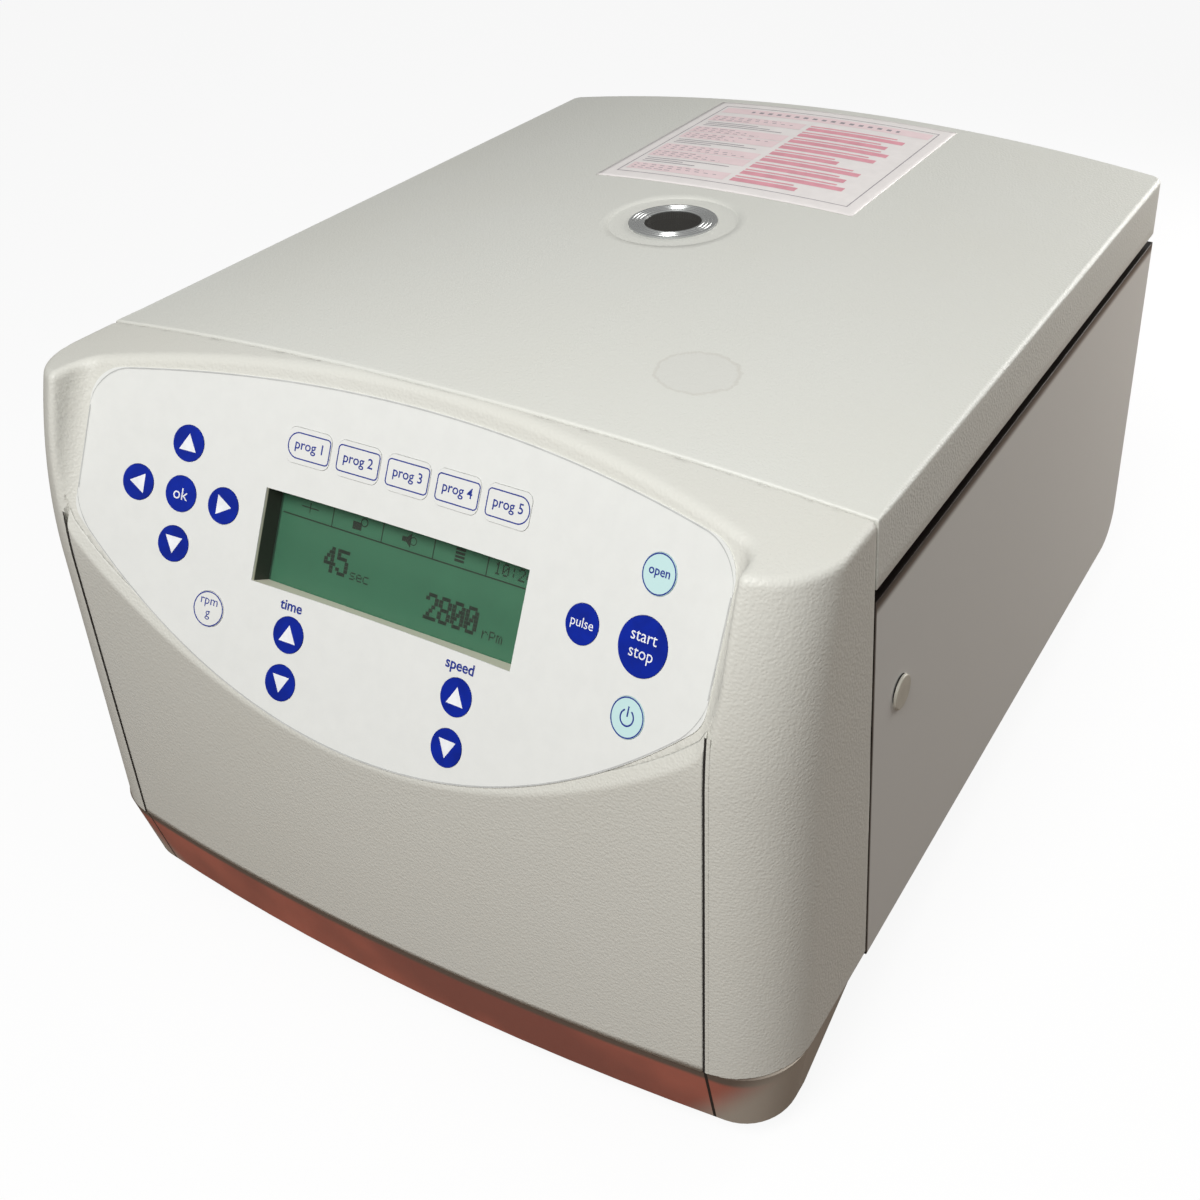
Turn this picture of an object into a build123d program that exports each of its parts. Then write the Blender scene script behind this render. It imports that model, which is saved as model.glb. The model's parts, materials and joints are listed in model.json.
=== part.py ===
"""Bench centrifuge for two microplates: housing, hinged lid, keypad, swing-out rotor, motor and drive box.

Frame: +X right, +Y to the rear, +Z up, millimetres; the origin is on the bench, under the middle of the box.
"""
import math
import os

from build123d import *

os.makedirs("parts", exist_ok=True)

# Whole machine
WIDTH = 330.0  # across the housing at the seam above the base
DEPTH = 412.0
HEIGHT = 250.0  # to the crown of the lid
FOOT_H = 14.0
FRONT_Y = -DEPTH / 2
REAR_Y = 197.5  # rear edge of the side panels; the fan guard stands proud of it
WALL = 3.0  # moulded walls
SHEET = 1.2  # sheet metal

# Base and front moulding
SEAM_Z = 47.4  # lower edge of the front moulding
BASE_TOP_INSET = 0.6
BASE_LOW_INSET = 5.6
BASE_REAR_Y = 181.0
COVER_WALL = 2.5
BOW_R = 1293.0  # forward bow of the front
CORNER_R = 26.0
LEAN = 0.075  # the face leans back this much for each mm of height
LEAN_BEND_Z = 170.0  # above here the lean grows along a curve
LEAN_BEND_R = 200.0
GAP_X = 137.25  # centre of the slits beside the front cover
GAP_HALF = 0.65
COVER_TOP_Z = 203.0

# Lid
LID_HALF = 162.2
CROWN_RISE = 11.9
CROWN_R = (LID_HALF**2 + CROWN_RISE**2) / (2 * CROWN_RISE)
SIDE_TOP_Z = HEIGHT - CROWN_RISE
SKIRT_Z = 212.4
CREASE_Y = -124.1  # parting line between lid and front moulding, at the sides
CREASE_BOW = 7.0
PART_GAP = 0.4  # half of the parting line
LID_REAR_Y = 199.0
LID_CORNER_R = 5.0
LINER_Z = 213.0
LINER_T = 2.5
LINER_REAR_Y = 178.0

# Control panel: a shallow trough, leaning back
PANEL_TILT = 30.0
PANEL_Y = -158.1
PANEL_Z = 208.0
PANEL_R = 639.0
PANEL_WALL_X = 138.5
PANEL_FILLET = 5.0
OVERLAY_T = 0.45
OVERLAY_HALF = 134.6
OVERLAY_TOP = 42.0
OVERLAY_LOW = -82.2

# Display window, in panel coordinates: u to the right, v up the slope
WINDOW_U = 1.4
WINDOW_V = -15.8
WINDOW_W = 114.0
WINDOW_H = 34.0
FRAME_WALL = 1.6
GLASS_DEPTH = 6.0
GLASS_T = 1.2
BOARD_DEPTH = 8.5

# Keys
KEY_D = 13.2
START_D = 19.1
PROG_W, PROG_H = 18.6, 12.6
KEY_PROUD = 0.25
KEY_SKIRT_T = 1.05
KEY_LIP = 0.4
KEY_TRAVEL = 0.4
KEY_STEM_R = 2.0

# Chamber and rotor
AXIS_Y = 32.0
DECK_Z = 203.5
DECK_T = 3.0
DECK_TOP = DECK_Z + DECK_T
BOWL_R = 130.0
BOWL_FLOOR_Z = 94.0
BOWL_T = 1.5
RIM_R = 140.0
SHAFT_R = 7.0
FIT = 0.05
PIVOT_Z = 148.0
PIVOT_R = 60.0
CARRIER_L, CARRIER_W = 132.0, 90.0  # along the swing axis, and across it
POCKET_L, POCKET_W = 128.6, 86.4  # holds a 127.8 x 85.5 plate
CARRIER_LOW, CARRIER_HIGH = -20.0, 8.0  # floor and rim below and above the swing axis
TRUNNION_R = 3.0

# Lid hinge
HINGE_Y = 190.0
HINGE_Z = 222.0
HINGE_PIN_R = 3.0
HINGE_X = 110.0

# Lid latch
STRIKER_X = 75.0
STRIKER_Y = -113.5
BOLT_Z = 190.0


def save(piece, label):
    piece.part.label = label
    export_step(piece.part, f"parts/{label}.step")


def side_x(z):
    """Half width of the housing at height z: the sides open out a little towards the base."""
    return LID_HALF + (WIDTH / 2 - LID_HALF) * (SIDE_TOP_Z - z) / (SIDE_TOP_Z - SEAM_Z)


def lean(z):
    """How far the front has moved back at height z: a straight lean, then an arc."""
    bend = max(0.0, z - LEAN_BEND_Z)
    return LEAN * (z - SEAM_Z) + bend**2 / (2 * LEAN_BEND_R)


def bow(x, radius=BOW_R):
    return radius - math.sqrt(radius**2 - x**2)


# ---------------------------------------------------------------- front moulding


def front_solid(inset, low_z, rear_gap):
    """The front moulding's outer form, taken in by inset: one plan outline that slides back as it rises."""
    with BuildPart() as solid:
        for z in (low_z, LEAN_BEND_Z, 182.0, 194.0, 206.0, 218.0, 229.0, 240.0, 256.0):
            half = side_x(z) - inset
            nose = FRONT_Y + lean(z) + inset
            shoulder = nose + bow(half)
            rear = CREASE_Y - rear_gap
            with BuildSketch(Plane.XY.offset(z)) as outline:
                with BuildLine():
                    Line((-half, shoulder), (-half, rear))
                    ThreePointArc((-half, rear), (0, rear - CREASE_BOW), (half, rear))
                    Line((half, rear), (half, shoulder))
                    ThreePointArc((half, shoulder), (0, nose), (-half, shoulder))
                make_face()
                fillet(outline.vertices().group_by(Axis.Y)[0], CORNER_R - inset)
        loft(ruled=True)
    return solid.part


tilt = math.radians(PANEL_TILT)
PANEL_UP = (0, math.sin(tilt), math.cos(tilt))
PANEL_OUT = (0, -math.cos(tilt), math.sin(tilt))
across_panel = Plane(origin=(0, PANEL_Y, PANEL_Z), x_dir=(1, 0, 0), z_dir=PANEL_UP)
on_panel = Plane(origin=(0, PANEL_Y, PANEL_Z), x_dir=(1, 0, 0), z_dir=PANEL_OUT)


def trough_rise(u):
    """Height of the trough's surface above its lowest line."""
    return bow(u, PANEL_R)


def panel_space(inset):
    """The room in front of the panel: a trough with rounded end walls, all taken in by inset."""
    reach = 90.0
    wall_x = PANEL_WALL_X + inset
    foot = -PANEL_R + math.sqrt((PANEL_R + inset) ** 2 - wall_x**2)
    with BuildPart() as space:
        with BuildSketch(across_panel.offset(-130)) as section:
            with BuildLine():
                ThreePointArc((-wall_x, foot), (0, inset), (wall_x, foot))
                Polyline((wall_x, foot), (wall_x + 8, -reach), (-wall_x - 8, -reach), (-wall_x, foot))
            make_face()
            fillet(section.vertices().group_by(Axis.Y)[-1], PANEL_FILLET + inset)
        extrude(amount=240)
    return space.part


def key_plane(u, v, height=0.0):
    """Plane square to the trough's surface at (u, v), lifted by height along the local normal."""
    turn = math.asin(u / PANEL_R)
    normal = Vector(*PANEL_OUT) * math.cos(turn) + Vector(-math.sin(turn), 0, 0)
    along = Vector(math.cos(turn), 0, 0) + Vector(*PANEL_OUT) * math.sin(turn)
    foot = on_panel.from_local_coords((u, v, trough_rise(u)))
    return Plane(origin=foot + normal * height, x_dir=along, z_dir=normal)


ARROW_U, ARROW_V, ARROW_STEP = -91.1, -9.7, 18.6
ROUND_KEYS = {
    "key_up": (ARROW_U, ARROW_V + ARROW_STEP),
    "key_down": (ARROW_U, ARROW_V - ARROW_STEP),
    "key_left": (ARROW_U - ARROW_STEP, ARROW_V),
    "key_right": (ARROW_U + ARROW_STEP, ARROW_V),
    "key_ok": (ARROW_U, ARROW_V),
    "key_rpm": (-71.7, -47.8),
    "key_time_up": (-35.8, -47.7),
    "key_time_down": (-35.8, -65.4),
    "key_speed_up": (39.0, -47.7),
    "key_speed_down": (39.0, -65.4),
    "key_open": (107.4, 13.1),
    "key_short": (82.8, -9.7),
    "key_power": (106.9, -32.2),
}
START_KEY = (107.0, -9.7)
PROG_U, PROG_V, PROG_STEP = -40.5, 18.6, 21.4
PROG_KEYS = {f"key_prog_{n + 1}": (PROG_U + n * PROG_STEP, PROG_V) for n in range(5)}
BOARD_BOSSES = [(-72.0, 17.0), (72.0, 17.0), (-62.0, -60.0), (62.0, -60.0)]


def key_cutters(plane_height, depth, clearance):
    """Prisms of every key's outline, from plane_height down by depth, wider all round by clearance."""
    with BuildPart() as cutters:
        for u, v in ROUND_KEYS.values():
            with BuildSketch(key_plane(u, v, plane_height)):
                Circle(KEY_D / 2 + clearance)
            extrude(amount=-depth)
        with BuildSketch(key_plane(*START_KEY, plane_height)):
            Circle(START_D / 2 + clearance)
        extrude(amount=-depth)
        for u, v in PROG_KEYS.values():
            with BuildSketch(key_plane(u, v, plane_height)):
                RectangleRounded(PROG_W + 2 * clearance, PROG_H + 2 * clearance, 3.0 + clearance)
            extrude(amount=-depth)
    return cutters.part


key_centres = list(ROUND_KEYS.values()) + [START_KEY] + list(PROG_KEYS.values())
panel_face = panel_space(OVERLAY_T)
panel_back = panel_space(OVERLAY_T + WALL)
form_outer = front_solid(0.0, SEAM_Z, PART_GAP)
form_inner = front_solid(WALL, SEAM_Z - 4, PART_GAP + WALL)
form_cover_in = front_solid(COVER_WALL, SEAM_Z - 4, PART_GAP + WALL)
form_cover_back = front_solid(COVER_WALL + 0.3, SEAM_Z - 4, PART_GAP + WALL)
KEY_WELL = KEY_SKIRT_T + KEY_TRAVEL + 0.65  # room under the overlay for a key's lip and its travel
key_wells = key_cutters(-OVERLAY_T + 2, 2 + KEY_WELL, KEY_LIP + 0.3)

with BuildPart() as front_inside:
    add(form_inner)
    with Locations((0, 0, HEIGHT - CROWN_R)):
        Cylinder(CROWN_R - WALL, 900, rotation=(90, 0, 0), mode=Mode.INTERSECT)
    add(panel_back, mode=Mode.SUBTRACT)

with BuildPart() as cover_room:
    with Locations((0, FRONT_Y + 15, COVER_TOP_Z / 2)):
        Box(2 * (GAP_X + GAP_HALF), 70, COVER_TOP_Z)
    add(form_cover_back, mode=Mode.SUBTRACT)

with BuildPart() as front_bezel:
    add(form_outer)
    with Locations((0, 0, HEIGHT - CROWN_R)):
        Cylinder(CROWN_R, 900, rotation=(90, 0, 0), mode=Mode.INTERSECT)
    add(panel_face, mode=Mode.SUBTRACT)
    add(front_inside.part, mode=Mode.SUBTRACT)
    # open the rear below the deck
    with Locations((0, CREASE_Y - 8, DECK_Z / 2)):
        Box(2 * (LID_HALF - WALL), 30, DECK_Z, mode=Mode.SUBTRACT)
    add(cover_room.part, mode=Mode.SUBTRACT)
    # wells and stem holes for the keys
    add(key_wells, mode=Mode.SUBTRACT)
    for u, v in key_centres:
        with BuildSketch(key_plane(u, v)):
            Circle(KEY_STEM_R + 0.6)
        extrude(amount=-8, mode=Mode.SUBTRACT)
    # opening for the display frame
    with BuildSketch(on_panel.offset(-8)):
        with Locations((WINDOW_U, WINDOW_V)):
            Rectangle(WINDOW_W + 2 * FRAME_WALL + 0.4, WINDOW_H + 2 * FRAME_WALL + 0.4)
    extrude(amount=20, mode=Mode.SUBTRACT)
    # bosses that carry the control board
    for u, v in BOARD_BOSSES:
        with BuildSketch(on_panel.offset(-BOARD_DEPTH)):
            with Locations((u, v)):
                Circle(3.5)
        extrude(amount=BOARD_DEPTH + trough_rise(u) - OVERLAY_T - 1)
save(front_bezel, "front_bezel")

with BuildPart() as front_cover:
    add(form_outer)
    add(form_cover_in, mode=Mode.SUBTRACT)
    with Locations((0, FRONT_Y + 15, (SEAM_Z + COVER_TOP_Z) / 2)):
        Box(2 * (GAP_X - GAP_HALF), 70, COVER_TOP_Z - SEAM_Z, mode=Mode.INTERSECT)
    add(panel_space(OVERLAY_T + 0.1), mode=Mode.SUBTRACT)
save(front_cover, "front_cover")


# ---------------------------------------------------------------- keypad and display


def overlay_low_edge(u):
    """Lower edge of the keypad overlay: a smile that steepens towards its ends."""
    return OVERLAY_LOW + 2.72e-3 * u**2 + 2.2e-8 * u**4


overlay_holes = key_cutters(2, 4, 0.15)
with BuildPart() as overlay_band:
    with BuildSketch(across_panel.offset(-100)):
        with Locations((0, -PANEL_R)):
            Circle(PANEL_R + OVERLAY_T)
            Circle(PANEL_R, mode=Mode.SUBTRACT)
        with Locations((0, 0)):
            Rectangle(300, 100, mode=Mode.INTERSECT)
    extrude(amount=180)

with BuildPart() as keypad_overlay:
    with BuildSketch(on_panel.offset(-5)) as outline:
        top_corner = OVERLAY_TOP - 14.5
        steps = [-OVERLAY_HALF + n * OVERLAY_HALF / 3 for n in range(7)]
        with BuildLine():
            Spline(*[(u, overlay_low_edge(u)) for u in steps])
            Line((OVERLAY_HALF, overlay_low_edge(OVERLAY_HALF)), (OVERLAY_HALF, top_corner))
            ThreePointArc((OVERLAY_HALF, top_corner), (0, OVERLAY_TOP), (-OVERLAY_HALF, top_corner))
            Line((-OVERLAY_HALF, top_corner), (-OVERLAY_HALF, overlay_low_edge(OVERLAY_HALF)))
        make_face()
        fillet(outline.vertices().group_by(Axis.Y)[-1], 14)
        fillet(outline.vertices().group_by(Axis.Y)[0], 10)
        with Locations((WINDOW_U, WINDOW_V)):
            Rectangle(WINDOW_W, WINDOW_H, mode=Mode.SUBTRACT)
    extrude(amount=30)
    add(overlay_band.part, mode=Mode.INTERSECT)
    add(overlay_holes, mode=Mode.SUBTRACT)
save(keypad_overlay, "keypad_overlay")

with BuildPart() as display_frame:
    with BuildSketch(on_panel.offset(-GLASS_DEPTH)):
        with Locations((WINDOW_U, WINDOW_V)):
            Rectangle(WINDOW_W + 2 * FRAME_WALL, WINDOW_H + 2 * FRAME_WALL)
            Rectangle(WINDOW_W, WINDOW_H, mode=Mode.SUBTRACT)
    extrude(amount=GLASS_DEPTH + 6)
    add(panel_face, mode=Mode.SUBTRACT)
save(display_frame, "display_frame")

with BuildPart() as display_glass:
    with BuildSketch(on_panel.offset(-GLASS_DEPTH)):
        with Locations((WINDOW_U, WINDOW_V)):
            Rectangle(WINDOW_W + 2 * FRAME_WALL, WINDOW_H + 2 * FRAME_WALL)
    extrude(amount=-GLASS_T)
save(display_glass, "display_glass")

with BuildPart() as display_module:
    with BuildSketch(on_panel.offset(-GLASS_DEPTH - GLASS_T)):
        with Locations((WINDOW_U, WINDOW_V)):
            RectangleRounded(WINDOW_W + 8, WINDOW_H + 9, 1.5)
    extrude(amount=-(BOARD_DEPTH - GLASS_DEPTH - GLASS_T))
save(display_module, "display_module")

with BuildPart() as control_board:
    with BuildSketch(on_panel.offset(-BOARD_DEPTH)):
        with Locations((0, -25)):
            RectangleRounded(250, 96, 3)
    extrude(amount=-1.6)
    # ribbon connector and drivers on the rear
    with BuildSketch(on_panel.offset(-BOARD_DEPTH - 1.6)):
        with Locations((-80, -35), (-45, -35)):
            Rectangle(14, 14)
        with Locations((40, -55)):
            Rectangle(50, 7)
    extrude(amount=-3)
    for u, v in BOARD_BOSSES:
        with BuildSketch(on_panel.offset(-BOARD_DEPTH)):
            with Locations((u, v)):
                Circle(1.2)
        extrude(amount=-2, mode=Mode.SUBTRACT)
save(control_board, "control_board")


def make_key(label, u, v, outline):
    """A key cap with a retaining lip under the overlay and a stem that reaches towards the board."""
    turn = math.asin(u / PANEL_R)
    stem = (trough_rise(u) + BOARD_DEPTH - 1.0) / math.cos(turn)
    with BuildPart() as key:
        with BuildSketch(key_plane(u, v, KEY_PROUD)):
            outline(0.0)
        extrude(amount=-(KEY_PROUD + OVERLAY_T + 0.1 + KEY_SKIRT_T))
        with BuildSketch(key_plane(u, v, -OVERLAY_T - 0.1)):
            outline(KEY_LIP)
        extrude(amount=-KEY_SKIRT_T)
        with BuildSketch(key_plane(u, v, -1.0)):
            Circle(KEY_STEM_R)
        extrude(amount=-(stem - 1.0))
    save(key, label)


def round_outline(diameter):
    return lambda grow: Circle(diameter / 2 + grow)


def prog_outline(grow):
    return RectangleRounded(PROG_W + 2 * grow, PROG_H + 2 * grow, 3.0 + grow)


for key_label, (key_u, key_v) in ROUND_KEYS.items():
    make_key(key_label, key_u, key_v, round_outline(KEY_D))
make_key("key_start_stop", *START_KEY, round_outline(START_D))
for key_label, (key_u, key_v) in PROG_KEYS.items():
    make_key(key_label, key_u, key_v, prog_outline)


# ---------------------------------------------------------------- base, side panels and rear


def tray_solid(low_z, high_z, low_inset, high_inset, rear_inset):
    """The base's outer form: the front moulding's plan, taken in by an inset that grows towards the floor."""
    with BuildPart() as solid:
        for z, inset in ((low_z, low_inset), (high_z, high_inset)):
            half = WIDTH / 2 - inset
            nose = FRONT_Y + inset
            shoulder = nose + bow(half)
            rear = BASE_REAR_Y - rear_inset
            with BuildSketch(Plane.XY.offset(z)) as outline:
                with BuildLine():
                    Polyline((-half, shoulder), (-half, rear), (half, rear), (half, shoulder))
                    ThreePointArc((half, shoulder), (0, nose), (-half, shoulder))
                make_face()
                fillet(outline.vertices().group_by(Axis.Y)[0], CORNER_R - inset)
        loft()
    return solid.part


FLANK_ANGLE = math.radians(36.0)  # from upright
FLANK_LOW_Y, FLANK_HIGH_Y = -166.0, -136.0  # where the flanks begin, at the floor and under the side panels


def tray_flanks(inward):
    """What the slanted flanks behind the front corners take off the base, moved into it by inward."""
    slope = inward / math.cos(FLANK_ANGLE)
    low_z = FOOT_H - 1
    high_x = WIDTH / 2 + 1 - slope
    low_x = high_x - (SEAM_Z - low_z) * math.tan(FLANK_ANGLE)
    with BuildPart() as flanks:
        for side in (-1, 1):
            with BuildSketch(Plane.XZ.offset(-BASE_REAR_Y - 1)):
                with BuildLine():
                    Polyline((side * low_x, low_z), (side * WIDTH, low_z), (side * WIDTH, SEAM_Z),
                             (side * high_x, SEAM_Z), (side * low_x, low_z))
                make_face()
            extrude(amount=400)
        with BuildSketch(Plane.YZ.offset(-WIDTH)):
            with BuildLine():
                Polyline((FLANK_LOW_Y - inward, low_z), (BASE_REAR_Y + 1, low_z), (BASE_REAR_Y + 1, SEAM_Z),
                         (FLANK_HIGH_Y - inward, SEAM_Z), (FLANK_LOW_Y - inward, low_z))
            make_face()
        extrude(amount=2 * WIDTH, mode=Mode.INTERSECT)
    return flanks.part


TRAY_FLOOR_Z = FOOT_H + 3.0
TRAY_SIDE_Z = 44.3  # the side panels start here
FEET = [(-126.0, -158.0), (126.0, -158.0), (-126.0, 148.0), (126.0, 148.0)]
DAMPERS = [(x, AXIS_Y + y) for x in (-62.0, 62.0) for y in (-62.0, 62.0)]
BOARD_X, BOARD_Y = -110.0, -60.0
BOARD_L, BOARD_W = 130.0, 60.0
STANDOFFS = [(BOARD_X + x, BOARD_Y + y) for x in (-24.0, 24.0) for y in (-58.0, 58.0)]

with BuildPart() as base_tray:
    add(tray_solid(FOOT_H, SEAM_Z - 0.4, BASE_LOW_INSET, BASE_TOP_INSET, 0) - tray_flanks(0))
    tray_room = tray_solid(TRAY_FLOOR_Z, SEAM_Z, BASE_LOW_INSET + WALL, BASE_TOP_INSET + WALL, WALL)
    add(tray_room - tray_flanks(WALL), mode=Mode.SUBTRACT)
    with Locations((0, CREASE_Y + 200, TRAY_SIDE_Z + 4.9)):
        Box(WIDTH, 400, 10, mode=Mode.SUBTRACT)
    with BuildSketch(Plane.XY.offset(FOOT_H)):
        for y in range(-120, 160, 20):
            with Locations((-10, y)):
                SlotOverall(70, 6)
    extrude(amount=WALL, mode=Mode.SUBTRACT)
    with BuildSketch(Plane.XY.offset(TRAY_FLOOR_Z)):
        with Locations(*STANDOFFS):
            Circle(4)
    extrude(amount=8)
    with BuildSketch(Plane.XY.offset(FOOT_H)):
        with Locations(*FEET):
            Circle(4)
    extrude(amount=WALL, mode=Mode.SUBTRACT)
save(base_tray, "base_tray")

with BuildPart() as rubber_feet:
    for x, y in FEET:
        with Locations((x, y, 0)):
            Cone(11, 13, FOOT_H, align=(Align.CENTER, Align.CENTER, Align.MIN))
        with Locations((x, y, FOOT_H)):
            Cylinder(4, WALL + 1, align=(Align.CENTER, Align.CENTER, Align.MIN))
save(rubber_feet, "rubber_feet")

PANEL_REAR_Z = 62.0  # above here the panel's rear edge is turned in
SIDE_TOP = DECK_TOP + SHEET
SIDE_FRONT_Y = CREASE_Y + PART_GAP
SIDE_INSET = 0.3
PLUG_Y, PLUG_Z = -100.0, 155.0
draft = (WIDTH / 2 - LID_HALF) / (SIDE_TOP_Z - SEAM_Z)
side_face = Plane(origin=(side_x(0) - SIDE_INSET, 0, 0), x_dir=(0, 1, 0), z_dir=(1, 0, draft))
SIDE_LOW_V = TRAY_SIDE_Z * math.hypot(1, draft)
SIDE_HIGH_V = SIDE_TOP * math.hypot(1, draft)


def side_sheet():
    """The sheet of the right side panel, turned in along its top, bottom and rear edges."""
    with BuildPart() as sheet:
        with BuildSketch(side_face) as outline:
            with Locations(((SIDE_FRONT_Y + REAR_Y) / 2, (SIDE_LOW_V + SIDE_HIGH_V) / 2)):
                Rectangle(REAR_Y - SIDE_FRONT_Y, SIDE_HIGH_V - SIDE_LOW_V)
            fillet(outline.vertices().group_by(Axis.X)[-1].sort_by(Axis.Y)[0], 18)
        extrude(amount=-SHEET)
        with Locations((side_x(SIDE_TOP) - SIDE_INSET, (SIDE_FRONT_Y + REAR_Y) / 2, DECK_TOP)):
            Box(14, REAR_Y - SIDE_FRONT_Y, SHEET, align=(Align.MAX, Align.CENTER, Align.MIN))
        with Locations((side_x(TRAY_SIDE_Z) - 0.8, (SIDE_FRONT_Y + REAR_Y - 60) / 2, TRAY_SIDE_Z)):
            Box(12, REAR_Y - SIDE_FRONT_Y - 60, SHEET, align=(Align.MAX, Align.CENTER, Align.MIN))
        with Locations((side_x(SIDE_TOP) - 0.8, REAR_Y, (PANEL_REAR_Z + SIDE_TOP) / 2)):
            Box(12, SHEET, SIDE_TOP - PANEL_REAR_Z, align=(Align.MAX, Align.MAX, Align.CENTER))
        with Locations((side_x(SIDE_TOP) + 5 - SIDE_INSET, 30, SIDE_TOP)):
            Box(10, 400, 10, align=(Align.CENTER, Align.CENTER, Align.MIN), mode=Mode.SUBTRACT)
    return sheet.part


with BuildPart() as side_panel_right:
    add(side_sheet())
    with BuildSketch(Plane.YZ.offset(side_x(PLUG_Z) - 6)):
        with Locations((PLUG_Y, PLUG_Z)):
            Circle(4.4)
    extrude(amount=12, mode=Mode.SUBTRACT)
save(side_panel_right, "side_panel_right")

with BuildPart() as side_panel_left:
    add(side_sheet().mirror(Plane.YZ))
    # air inlet low down towards the rear
    with BuildSketch(Plane.YZ.offset(-side_x(80) - 5)):
        for n in range(9):
            with Locations((110 + 8 * n, 82)):
                SlotOverall(40, 3.4, rotation=90)
    extrude(amount=12, mode=Mode.SUBTRACT)
save(side_panel_left, "side_panel_left")

FAN_X, FAN_Z = -88.0, 128.0
FAN_SIZE = 80.0
FAN_BORE = 37.5
INLET_X, INLET_Z = 100.0, 104.0
INLET_W, INLET_H = 30.0, 60.0
PORT_X, PORT_Z = 48.0, 92.0
REAR_SHEET_Y = REAR_Y - 2 * SHEET  # front of the rear sheet, inside the side panels' turned edges

with BuildPart() as rear_panel:
    with BuildSketch(Plane.YZ.offset(-155)):
        with BuildLine():
            middle = REAR_SHEET_Y + SHEET / 2
            low = TRAY_SIDE_Z + SHEET / 2
            Line((middle, DECK_Z), (middle, low + 17))
            RadiusArc((middle, low + 17), (middle - 17, low), 17)
            Line((middle - 17, low), (BASE_REAR_Y - 20, low))
        trace(line_width=SHEET)
    extrude(amount=310)
    with BuildSketch(Plane.XZ.offset(-REAR_Y - 1)):
        with Locations((FAN_X, FAN_Z)):
            Circle(FAN_BORE + 1.8)
        with Locations((INLET_X, INLET_Z)):
            Rectangle(INLET_W + 0.6, INLET_H + 0.6)
        with Locations((PORT_X, PORT_Z)):
            Rectangle(15, 24)
    extrude(amount=10, mode=Mode.SUBTRACT)
save(rear_panel, "rear_panel")

with BuildPart() as fan_frame:
    with BuildSketch(Plane.XZ.offset(-REAR_SHEET_Y)):
        with Locations((FAN_X, FAN_Z)):
            RectangleRounded(FAN_SIZE, FAN_SIZE, 5)
            Circle(FAN_BORE, mode=Mode.SUBTRACT)
    extrude(amount=25)
    # collar through the rear sheet, and the finger guard behind it
    with BuildSketch(Plane.XZ.offset(-DEPTH / 2)):
        with Locations((FAN_X, FAN_Z)):
            Circle(FAN_BORE + 1.5)
            Circle(FAN_BORE, mode=Mode.SUBTRACT)
    extrude(amount=DEPTH / 2 - REAR_SHEET_Y)
    with BuildSketch(Plane.XZ.offset(-DEPTH / 2)):
        for radius in (12.0, 20.0, 28.0):
            with Locations((FAN_X, FAN_Z)):
                Circle(radius + 0.9)
                Circle(radius - 0.9, mode=Mode.SUBTRACT)
        with Locations((FAN_X, FAN_Z)):
            Rectangle(2 * FAN_BORE + 1, 2.4, rotation=45)
            Rectangle(2 * FAN_BORE + 1, 2.4, rotation=-45)
    extrude(amount=1.8)
    # motor carrier on three struts
    with BuildSketch(Plane.XZ.offset(-REAR_SHEET_Y + 25)):
        with Locations((FAN_X, FAN_Z)):
            Circle(14)
            Rectangle(2 * FAN_BORE + 2, 5)
            Rectangle(5, 2 * FAN_BORE + 2)
            Circle(2 + FIT, mode=Mode.SUBTRACT)
    extrude(amount=-4)
save(fan_frame, "fan_frame")

with BuildPart() as fan_rotor:
    with BuildSketch(Plane.XZ.offset(-REAR_SHEET_Y + 1)):
        with Locations((FAN_X, FAN_Z)):
            Circle(16)
    extrude(amount=19)
    for n in range(7):
        with Locations(Location((FAN_X, REAR_SHEET_Y - 10.5, FAN_Z), (0, n * 360 / 7, 0))):
            with Locations((25.4, 0, 0)):
                Box(21.4, 17, 1.6, rotation=(28, 0, 0))
    with BuildSketch(Plane.XZ.offset(-REAR_SHEET_Y + 24)):
        with Locations((FAN_X, FAN_Z)):
            Circle(2)
    extrude(amount=-6)
save(fan_rotor, "fan_rotor")

SWITCH_Z = INLET_Z + 18.0
SOCKET_Z = INLET_Z - 11.0
SOCKET_W, SOCKET_H = 21.0, 28.0
with BuildPart() as mains_inlet:
    with BuildSketch(Plane.XZ.offset(-REAR_SHEET_Y - SHEET)):
        with Locations((INLET_X, INLET_Z)):
            RectangleRounded(INLET_W + 8, INLET_H + 8, 3)
    extrude(amount=-2)
    with BuildSketch(Plane.XZ.offset(-REAR_SHEET_Y - SHEET)):
        with Locations((INLET_X, INLET_Z)):
            Rectangle(INLET_W, INLET_H)
    extrude(amount=28)
    with BuildSketch(Plane.XZ.offset(-REAR_Y - 2)):
        with Locations((INLET_X, SOCKET_Z)):
            Rectangle(SOCKET_W, SOCKET_H)
        with Locations((INLET_X, SWITCH_Z)):
            Rectangle(22, 14)
    extrude(amount=18, mode=Mode.SUBTRACT)
    with BuildSketch(Plane.XZ.offset(-REAR_Y + 16.5)):
        for dx, dz in ((-4.0, -7.0), (4.0, 0.0), (-4.0, 7.0)):
            with Locations((INLET_X + dx, SOCKET_Z + dz)):
                Rectangle(4, 2)
    extrude(amount=-13)
    # pivot bores for the rocker
    with BuildSketch(Plane.YZ.offset(INLET_X - 13)):
        with Locations((REAR_Y - 5, SWITCH_Z)):
            Circle(1.5 + FIT)
    extrude(amount=26, mode=Mode.SUBTRACT)
save(mains_inlet, "mains_inlet")

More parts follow.
